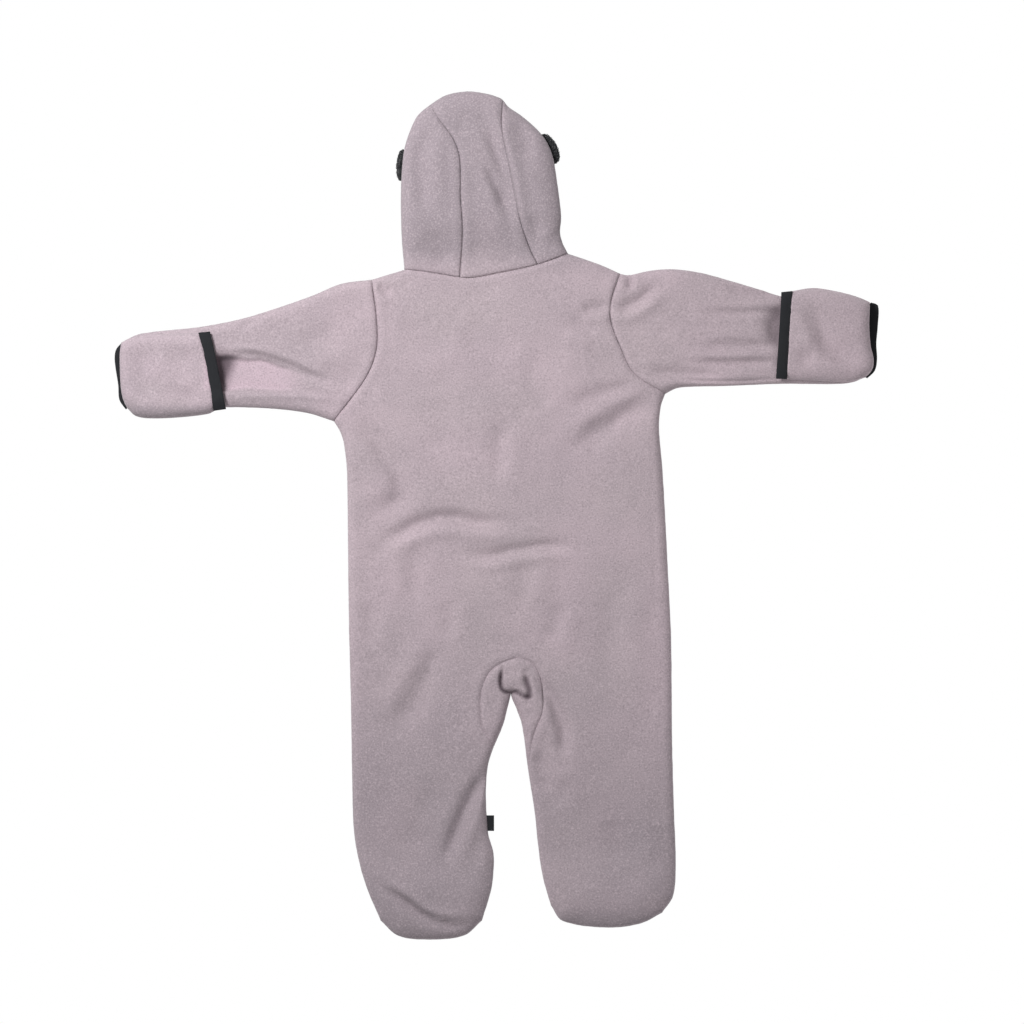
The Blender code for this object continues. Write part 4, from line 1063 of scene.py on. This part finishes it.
# The grid of each patch: the length that it covers, and the reach of its rolled ends.
HALF = steps(165.0, BODY_ROLL, BODY_ROLL)
YOKE = steps(158.0, BODY_ROLL)
TORSO = steps(235.0)
LEG = steps(275.0, 0, 24.0)
STRIP_DOWN, STRIP_ACROSS = steps(155.0), steps(45.0, 0, BODY_ROLL)
GUSSET_DOWN = steps(112.0 * GUSSET_FINER)
GUSSET_ACROSS = steps(22.0 * GUSSET_FINER, 0, 8.0 * GUSSET_FINER)
SLEEVE_DOWN, SLEEVE_ACROSS = steps(252.0), steps(118.0, 10.0, 10.0)
FLAP_DOWN, FLAP_ACROSS = steps(80.0, 5.0, 5.0), steps(82.0, 0, 5.0)
CUFF_DOWN = steps(70.0, 4.0, 4.0)
HOOD_DOWN, HOOD_ACROSS, HOOD_UNDER = steps(175.0, 0, 12.0), steps(62.0, 22.0), steps(80.0, 22.0)
CROWN_DOWN, CROWN_ACROSS, CROWN_UNDER = steps(175.0, 0, 22.0), steps(75.0), steps(40.0, 22.0)
WAIST = GUSSET_TOP[1]


def side_line(side, start, end):
    """The side of the torso and leg between two heights."""
    return part_of(smooth(OUTLINE["side_" + side]), 1, start, end)


def torso_side(side):
    """The torso's side from the armpit to the gusset's top."""
    return sample(side_line(side, ARMHOLES[side][-1][1], WAIST), TORSO)


def leg_patch(side):
    """One leg, from the waist to the foot."""
    foot = smooth(OUTLINE["foot_" + side])
    if side == "right":
        foot = foot[::-1]
    outer = sample(side_line(side, WAIST, foot[0][1]), LEG)
    seam_end = GUSSET_SEAMS[side][-1][1]
    inner_line = part_of(smooth(OUTLINE["inner_" + side]), 1, seam_end, foot[-1][1])
    inner = sample(joined(smooth(GUSSET_SEAMS[side]), inner_line), LEG)
    top = straight(outer[0], GUSSET_TOP, HALF)
    return patch(top, sample(foot, HALF), outer, inner, HALF, LEG)


def make_back(material):
    """The back in four patches: yoke, torso and two legs."""
    halves = {side: torso_side(side) for side in ARMHOLES}
    columns = np.concatenate((HALF / 2, 1 - HALF[-2::-1] / 2))
    left, right = halves["left"], halves["right"]
    middle = (left[0] + right[0]) / 2
    armpits = joined(straight(left[0], middle, HALF), straight(right[0], middle, HALF)[::-1])
    waist = joined(
        straight(left[-1], GUSSET_TOP, HALF), straight(right[-1], GUSSET_TOP, HALF)[::-1]
    )
    top = shoulder_row(len(columns))
    yoke = patch(
        top, armpits, along(ARMHOLES["left"], YOKE), along(ARMHOLES["right"], YOKE), columns, YOKE
    )
    torso = patch(armpits, waist, left, right, columns, TORSO)
    grids = [(yoke, 1), (torso, 1), (leg_patch("left"), 1), (leg_patch("right"), 1)]
    made = cloth("back", grids, material, tables=(BACK_FOLDS,))
    lay("back")


def zip_side(offset, start, end, fractions):
    """The line beside the zip, this far to its right, between these heights."""
    line = part_of(smooth(ZIP_LINE), 1, start, end)
    way = np.gradient(line, axis=0)
    way /= np.linalg.norm(way, axis=1)[:, None]
    beside = line + np.stack([-way[:, 1], way[:, 0]], axis=1) * offset
    return sample(beside, fractions)


def neck_part(start, end, count):
    """Points of the neck seam between two places along X."""
    return sample(part_of(smooth(NECK_SEAM), 0, start, end), np.linspace(0, 1, count))


def make_front(side, material):
    """One half of the front, from the side seam to the zip."""
    way = -1 if side == "left" else 1
    offset = way * ZIP_HALF_WIDTH
    armhole, outer = along(ARMHOLES[side], YOKE), torso_side(side)
    neck_start, neck_end = NECK_SEAM[0 if side == "left" else -1][0], NECK_ZIP + offset
    shoulder = smooth(OUTLINE["shoulder_" + side])
    if side == "left":
        shoulder = shoulder[::-1]
    corner = len(HALF) // 4
    top = joined(
        sample(shoulder, np.linspace(0, 1, corner)),
        neck_part(neck_start, neck_end, len(HALF) - corner + 1),
    )
    armpit_height = (ARMHOLES["left"][-1][1] + ARMHOLES["right"][-1][1]) / 2
    zip_yoke = zip_side(offset, top[-1][1], armpit_height, YOKE)
    zip_yoke += (top[-1] - zip_yoke[0]) * (1 - YOKE[:, None]) ** 4
    zip_torso = zip_side(offset, armpit_height, WAIST, TORSO)
    zip_torso[0] = zip_yoke[-1]
    middle = straight(outer[0], zip_yoke[-1], HALF)
    waist = straight(outer[-1], zip_torso[-1], HALF)
    grids = [
        (patch(top, middle, armhole, zip_yoke, HALF, YOKE), -1),
        (patch(middle, waist, outer, zip_torso, HALF, TORSO), -1),
    ]
    if side == "left":
        grids.append((zip_leg(offset, waist), -1))
    else:
        grids += [(zip_strip(offset), -1), (leg_patch("right"), -1)]
    made = cloth("front_" + side, grids, material)
    lay("front_" + side)


def zip_leg(offset, waist):
    """The left leg's front, which ends at the zip, and below the zip at the leg's edge."""
    foot = smooth(OUTLINE["foot_left"])
    outer = sample(side_line("left", WAIST, foot[0][1]), LEG)
    zip_end = ZIP_LINE[-1][1]
    beside = zip_side(offset, WAIST, zip_end, np.linspace(0, 1, ZIP_LEG_POINTS))
    below = part_of(smooth(OUTLINE["inner_left"]), 1, zip_end - ZIP_LEG_GAP, foot[-1][1])
    inner = sample(np.concatenate((beside, below)), LEG)
    inner[0] = waist[-1]
    return patch(waist, sample(foot, HALF), outer, inner, HALF, LEG)


def zip_strip(offset):
    """The part of the right front that runs down inside the left leg."""
    left = zip_side(offset, WAIST, ZIP_STRIP_END, STRIP_DOWN)
    inner_line = part_of(
        smooth(OUTLINE["inner_left"]), 1, GUSSET_SEAMS["left"][-1][1], ZIP_STRIP_END
    )
    right = sample(joined(smooth(GUSSET_SEAMS["left"]), inner_line), STRIP_DOWN)
    top, bottom = (straight(left[row], right[row], STRIP_ACROSS) for row in (0, -1))
    return patch(top, bottom, left, right, STRIP_ACROSS, STRIP_DOWN)


def make_gusset(material):
    """The diamond over the crotch, on both faces of the suit."""
    grids = []
    for side in ARMHOLES:
        seam, inner = along(GUSSET_SEAMS[side], GUSSET_DOWN), along(GUSSET_INNER[side], GUSSET_DOWN)
        share = GUSSET_ACROSS[None, :, None]
        grid = seam[:, None] * (1 - share) + inner[:, None] * share
        grids += [(grid, 1), (grid, -1)]
    made = cloth("gusset", grids, material, tables=(BACK_FOLDS, CROTCH_FOLDS))
    lay("gusset")


def cuff_line(side, fractions):
    """The hand end of a sleeve, from its upper edge to its lower edge."""
    line = smooth(OUTLINE["cuff_" + side])
    return sample(line if side == "left" else line[::-1], fractions)


def make_sleeve(side, material):
    """A tube from the armhole to the hand end, flat across its mouth."""
    down, across = SLEEVE_DOWN, SLEEVE_ACROSS
    upper = smooth(OUTLINE["sleeve_" + side + "_upper"])
    lower = smooth(OUTLINE["sleeve_" + side + "_lower"])
    if side == "left":
        lower = lower[::-1]
    else:
        upper = upper[::-1]
    armhole, mouth = along(ARMHOLES[side], across), cuff_line(side, across)
    grid = patch(armhole, mouth, sample(upper, down), sample(lower, down), across, down)
    made = cloth("sleeve_" + side, [(grid, 1), (grid, -1)], material, tables=(SLEEVE_FOLDS,))
    lay("sleeve_" + side)


def make_flap(side, material, binding):
    """The mitten flap, turned back over its sleeve, and the band along its mouth."""
    shape = FLAPS[side]
    down, across = FLAP_DOWN, FLAP_ACROSS
    seam, end = along(shape["seam"], down), along(shape["end"], down)
    upper, lower = along(shape["upper"], across), along(shape["lower"], across)
    grid = np.swapaxes(patch(seam, end, upper, lower, down, across), 0, 1)
    lifted = flap_lift(side)
    made = cloth(
        "mitt_flap_" + side, [(grid, 1)], material, lifted, (FLAP_FOLDS,)
    )
    mouth = along(shape["mouth"], down)
    band = folded_band("flap_binding_" + side, seam, mouth, lifted, 1, binding)
    lay("mitt_flap_" + side)


def tube_faces(first, rings, sides, capped=True):
    """The faces of a tube whose rings of points follow each other from this number."""
    faces = []
    for a in range(first, first + (rings - 1) * sides, sides):
        for k in range(sides):
            after = (k + 1) % sides
            faces.append([a + k, a + after, a + sides + after, a + sides + k])
    if capped:
        last = first + (rings - 1) * sides
        faces.append(list(range(first + sides - 1, first - 1, -1)))
        faces.append(list(range(last, last + sides)))
    return faces


def folded_band(node, inner, outer, lifted, side, material):
    """Elastic folded over a cloth edge: a flat band with round edges and fine ribs."""
    reach = outer - inner
    width = np.linalg.norm(reach, axis=1)[:, None]
    across = reach / width
    middle = (inner + outer) / 2
    base = lifted(middle, side)[:, 2:] - side * (WALL / 2)
    points = []
    for turn in np.arange(BAND_SIDES) * math.tau / BAND_SIDES:
        c, s = math.cos(turn), math.sin(turn)
        flat = math.copysign(abs(c) ** BAND_EDGE, c) * (width / 2 + BAND_OVERLAP)
        high = math.copysign(abs(s) ** BAND_FACE, s) * BAND_HALF_THICK
        high += BAND_RIB * math.cos(turn * BAND_SIDES / 2)
        points.append(np.concatenate([middle + across * flat, base + high], axis=1))
    rings = np.stack(points, axis=1)
    rings[..., 2] = np.maximum(rings[..., 2], FLOOR_GAP)
    faces = tube_faces(0, len(rings), BAND_SIDES)
    made = new_object(node + "_band", rings.reshape(-1, 3), faces, material)
    tidy_normals(made)
    made.data.shade_smooth()
    place_piece(made, [node])
    return made


def tidy_normals(made):
    """Turns every face of a closed mesh outwards."""
    shape = bmesh.new()
    shape.from_mesh(made.data)
    bmesh.ops.recalc_face_normals(shape, faces=shape.faces)
    shape.to_mesh(made.data)
    shape.free()


def level(height):
    """Lifts every plan point to the same height."""
    def lifted(plan, _side):
        return np.concatenate([plan, np.full((len(plan), 1), height)], axis=1)

    return lifted


def make_cuff(side, material):
    """The binding folded over the palm edge of the sleeve's end."""
    way = 1 if side == "left" else -1
    inner = cuff_line(side, CUFF_DOWN) + (way * CUFF_OVERLAP, 0)
    outer = along(CUFF_EDGES[side], CUFF_DOWN)
    middle = level(CUFF_HEIGHT + WALL / 2)
    folded_band("cuff_binding_" + side, inner, outer, middle, 1, material)


def face_edge(turns, inside=0.0):
    """Points of the face opening's edge, or of a line this far inside it."""
    x = FACE_CENTRE[0] + (FACE_HALF_WIDTH - inside) * np.cos(turns)
    y = FACE_CENTRE[1] + (FACE_HALF_HEIGHT - inside) * np.sin(turns)
    return np.stack([x, y], axis=1)


CHIN = math.asin(CHIN_GAP / FACE_HALF_WIDTH)
FACE_TURNS = {
    "left": (1.5 * math.pi - CHIN, FACE_LEFT_END),
    "right": (1.5 * math.pi + CHIN, FACE_RIGHT_END + math.tau),
}


def make_hood_side(side, material):
    """One side panel, from its seam over the rolled edge to the face opening."""
    way = -1 if side == "left" else 1
    down = HOOD_DOWN
    edge = smooth(OUTLINE["hood_" + side + "_edge"])
    if side == "left":
        edge = edge[::-1]
    edge = sample(edge, down)
    seam = along(HOOD_SEAM_LEFT if side == "left" else HOOD_SEAM_RIGHT, down)
    start = NECK_SEAM[0 if side == "left" else -1][0]
    end = NECK_HOOD_LEFT if side == "left" else NECK_HOOD_RIGHT
    neck = sample(part_of(smooth(NECK_SEAM), 0, start, end), HOOD_ACROSS)
    tip = np.repeat(edge[-1:], len(HOOD_ACROSS), axis=0)
    top = patch(neck, tip, edge, seam, HOOD_ACROSS, down)
    chin_x = NECK_ZIP + way * CHIN_GAP
    under_neck = sample(part_of(smooth(NECK_SEAM), 0, start, chin_x), HOOD_UNDER)
    turns = np.linspace(*FACE_TURNS[side], FACE_POINTS // 2)
    chin = np.where(
        (down < CHIN_ROWS)[:, None],
        straight(under_neck[-1], face_edge(turns[:1])[0], np.minimum(down / CHIN_ROWS, 1)),
        sample(face_edge(turns), np.maximum(down - CHIN_ROWS, 0) / (1 - CHIN_ROWS)),
    )
    crown = straight(edge[-1], chin[-1], HOOD_UNDER)
    under = patch(under_neck, crown, edge, chin, HOOD_UNDER, down)
    made = cloth("hood_" + side, [(top, 1), (under, -1)], material, tables=(HOOD_FOLDS,))
    lay("hood_" + side)


def make_hood_centre(material):
    """The middle panel, from the neck over the crown to the face opening."""
    down, across = CROWN_DOWN, CROWN_ACROSS
    neck = sample(part_of(smooth(NECK_SEAM), 0, NECK_HOOD_LEFT, NECK_HOOD_RIGHT), across)
    crown = sample(smooth(OUTLINE["hood_top_edge"])[::-1], across)
    left, right = along(HOOD_SEAM_LEFT, down), along(HOOD_SEAM_RIGHT, down)
    top = patch(neck, crown, left, right, across, down)
    face = face_edge(np.linspace(FACE_LEFT_END, FACE_RIGHT_END, len(across)))
    share = CROWN_UNDER[:, None, None]
    under = crown[None] * (1 - share) + face[None] * share
    made = cloth("hood_centre", [(top, 1), (under, -1)], material, tables=(HOOD_FOLDS,))
    lay("hood_centre")


def make_hood_binding(material):
    """The binding all round the face opening."""
    turns = np.linspace(FACE_TURNS["left"][0], FACE_TURNS["right"][0] - math.tau, FACE_POINTS)
    folded_band(
        "hood_binding", face_edge(turns), face_edge(turns, BINDING_WIDTH), lift, -1, material
    )


def curl_rings(centre, axis, side_way, radius):
    """The rings of a short helix of yarn, which a tube is skinned on."""
    third = np.cross(axis, side_way)
    rings = []
    for t in np.linspace(0, 1, CURL_STEPS):
        angle = t * CURL_TURNS * math.tau
        spine = side_way * math.cos(angle) + third * math.sin(angle)
        middle = centre + spine * radius + axis * (t * radius * CURL_RISE)
        thick = CURL_THICK * (1 - CURL_TAPER * t)
        rings.append([
            middle + (spine * math.cos(a) + axis * math.sin(a)) * thick
            for a in (0, math.pi / 2, math.pi, 1.5 * math.pi)
        ])
    return rings


def make_ear(side, material):
    """Curly pile that peeps out from under the hood's edge: a core and its curls."""
    x, y, angle, half_length, reach_out, reach_in = EARS[side]
    rng = np.random.default_rng(5 if side == "left" else 6)
    out = np.array([math.cos(math.radians(angle)), math.sin(math.radians(angle))])
    tangent = np.array([-out[1], out[0]])

    def at(turn, tilt, inset, end_inset, rise):
        """A point of the ear's pillow shape, this far inside its reach."""
        c, s = math.cos(turn), math.sin(turn)
        reach = (reach_out if c > 0 else reach_in) - inset
        along_out = out * reach * c * math.sin(tilt)
        plan = along_out + tangent * (half_length - end_inset) * s * math.sin(tilt)
        return np.array([x + plan[0], y + plan[1], EAR_HEIGHT + rise * math.cos(tilt)])

    points = [
        at(math.tau * spoke / EAR_SPOKES, math.pi * ring / EAR_RINGS, *EAR_CORE)
        for ring in range(EAR_RINGS + 1) for spoke in range(EAR_SPOKES)
    ]
    faces = tube_faces(0, EAR_RINGS + 1, EAR_SPOKES, capped=False)
    for _ in range(CURLS):
        turn = rng.uniform(-CURL_TURN, CURL_TURN)
        tilt = rng.uniform(*CURL_TILTS) * math.pi
        sideways = out * math.cos(turn) + tangent * math.sin(turn)
        axis = np.array([*sideways, CURL_UP * math.cos(tilt)]) + rng.normal(0, CURL_LEAN, 3)
        axis /= np.linalg.norm(axis)
        side_way = np.cross(axis, rng.normal(0, 1, 3))
        side_way /= np.linalg.norm(side_way)
        centre = at(turn, tilt, *EAR_CURLS)
        curl = curl_rings(centre, axis, side_way, rng.uniform(*CURL_RADII))
        faces += tube_faces(len(points), len(curl), len(curl[0]))
        points += [(*point[:2], max(point[2], CURL_LOWEST)) for ring in curl for point in ring]
    made = new_object(f"ear_{side}_pile", points, faces, material)
    made.data.shade_smooth()
    place_piece(made, ["ear_" + side])


def make_zip_tape(side, material):
    """One woven tape with its half of the coil."""
    way = -1 if side == "left" else 1
    count = int((ZIP_TOP - ZIP_END) / GRID)
    fractions = np.linspace(0, 1, count)
    inner = zip_side(way * ZIP_TAPE_GAP, ZIP_TOP, ZIP_END, fractions)
    outer = zip_side(way * ZIP_TAPE_WIDTH, ZIP_TOP, ZIP_END, fractions)
    corners = []
    for line, height in (
        (inner, 0.0), (outer, 0.0), (outer, ZIP_TAPE_THICK), (inner, ZIP_TAPE_THICK),
    ):
        z = np.minimum(channel(line), ZIP_CHANNEL) + ZIP_TAPE_LIFT + height
        corners.append(np.concatenate([line, z[:, None]], axis=1))
    points = np.stack(corners, axis=1).reshape(-1, 3).tolist()
    faces = tube_faces(0, count, len(corners))
    pitches = int(line_length(inner) / TOOTH_PITCH)
    for share in (np.arange(pitches) + (0.5 if way > 0 else 0.0)) / pitches:
        here, there = sample(inner, np.array([share, min(1.0, share + 0.002)]))
        ahead = (there - here) / max(np.linalg.norm(there - here), SMALL)
        z = float(np.interp(share, fractions, corners[0][:, 2])) - TOOTH_BELOW
        faces += tube_faces(len(points), 2, 4)
        for dz in (-0.5, 0.5):
            for i, j in ((-0.35, -0.5), (0.65, -0.5), (0.65, 0.5), (-0.35, 0.5)):
                plan = here + np.array([way, 0]) * i * TOOTH_SIZE[0] + ahead * j * TOOTH_SIZE[1]
                points.append((*plan, z + dz * TOOTH_SIZE[2]))
    made = new_object(f"zip_tape_{side}_coil", points, faces, material)
    tidy_normals(made)
    place_piece(made, ["zip_tape_" + side])


def make_end_tab(material):
    """The folded tab that covers the zip's lower end."""
    low, high = (np.array(corner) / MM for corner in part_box("zip_end_tab"))
    middle = (low + high) / 2
    half = (high - low) / 2
    heights = np.linspace(low[1], high[1], TAB_ROWS)
    inner = np.array([[middle[0] - half[0] - TAB_TUCK, y] for y in heights])
    outer = np.array([[middle[0] + half[0] - BAND_OVERLAP, y] for y in heights])
    folded_band("zip_end_tab", inner, outer, level(middle[2] + WALL / 2), 1, material)


def make_floor():
    """A lit surface that the suit lies on, without shadows."""
    mesh = bpy.data.meshes.new("floor")
    corners = [(-1, -1, 0), (1, -1, 0), (1, 1, 0), (-1, 1, 0)]
    corners = [(x * FLOOR_HALF_SIZE, y * FLOOR_HALF_SIZE, z) for x, y, z in corners]
    mesh.from_pydata(corners, [], [[0, 1, 2, 3]])
    floor = bpy.data.objects.new("floor", mesh)
    floor.location.z = -FLOOR_BELOW
    bpy.context.scene.collection.objects.link(floor)
    made, _, _ = new_material("lit_floor", 1.0)
    shader = made.node_tree.nodes["Principled BSDF"]
    shader.inputs["Base Color"].default_value = (0, 0, 0, 1)
    shader.inputs["Specular IOR Level"].default_value = 0
    shader.inputs["Emission Color"].default_value = (1, 1, 1, 1)
    shader.inputs["Emission Strength"].default_value = 1
    mesh.materials.append(made)
    floor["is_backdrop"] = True


def area_light(name, place, size, power):
    """A round lamp that points at the suit."""
    light = bpy.data.lights.new(name, "AREA")
    light.shape = "DISK"
    light.size = size
    light.energy = power
    made = bpy.data.objects.new(name, light)
    made.location = place
    made.rotation_euler = (-made.location.normalized()).to_track_quat("-Z", "Y").to_euler()
    bpy.context.scene.collection.objects.link(made)


def make_studio():
    """Soft light from the hood's left, and even light from all round."""
    world = bpy.data.worlds.new("studio")
    world.use_nodes = True
    world.node_tree.nodes["Background"].inputs["Color"].default_value = (1, 1, 1, 1)
    world.node_tree.nodes["Background"].inputs["Strength"].default_value = WORLD_STRENGTH
    bpy.context.scene.world = world
    for row in LIGHTS:
        area_light(*row)
    bpy.context.scene.view_settings.view_transform = "Standard"


def make_camera():
    """Straight above the suit, as in the photograph."""
    camera = bpy.data.cameras.new("camera")
    camera.sensor_width = SENSOR
    camera.lens = SENSOR * CAMERA_HEIGHT / PICTURE_WIDTH
    made = bpy.data.objects.new("camera", camera)
    made.location = (*PICTURE_CENTRE, CAMERA_HEIGHT)
    bpy.context.scene.collection.objects.link(made)
    bpy.context.scene.camera = made


def main():
    """Makes every piece, the studio and the camera."""
    fleece = fleece_material("fleece_nap", FLEECE)
    smooth_fleece = fleece_material("fleece_smooth_face", FLEECE, 0.6)
    binding, pile = binding_material(), pile_material()
    tape, enamel = tape_material(), enamel_material()
    for name in ("zip_slider", "zip_pull"):
        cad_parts[name].material_slots[0].material = enamel
    make_floor()
    make_back(fleece)
    make_gusset(fleece)
    make_hood_centre(fleece)
    make_hood_binding(binding)
    make_end_tab(binding)
    for side in ("left", "right"):
        make_front(side, fleece)
        make_sleeve(side, fleece)
        make_flap(side, smooth_fleece, binding)
        make_cuff(side, binding)
        make_hood_side(side, fleece)
        make_ear(side, pile)
        make_zip_tape(side, tape)
    make_studio()
    make_camera()


def write_size():
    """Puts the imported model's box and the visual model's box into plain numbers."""
    boxes = {"cad": CAD_BOX, "visual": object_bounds()}
    plain = {name: [[float(v) for v in corner] for corner in box] for name, box in boxes.items()}


main()
write_size()
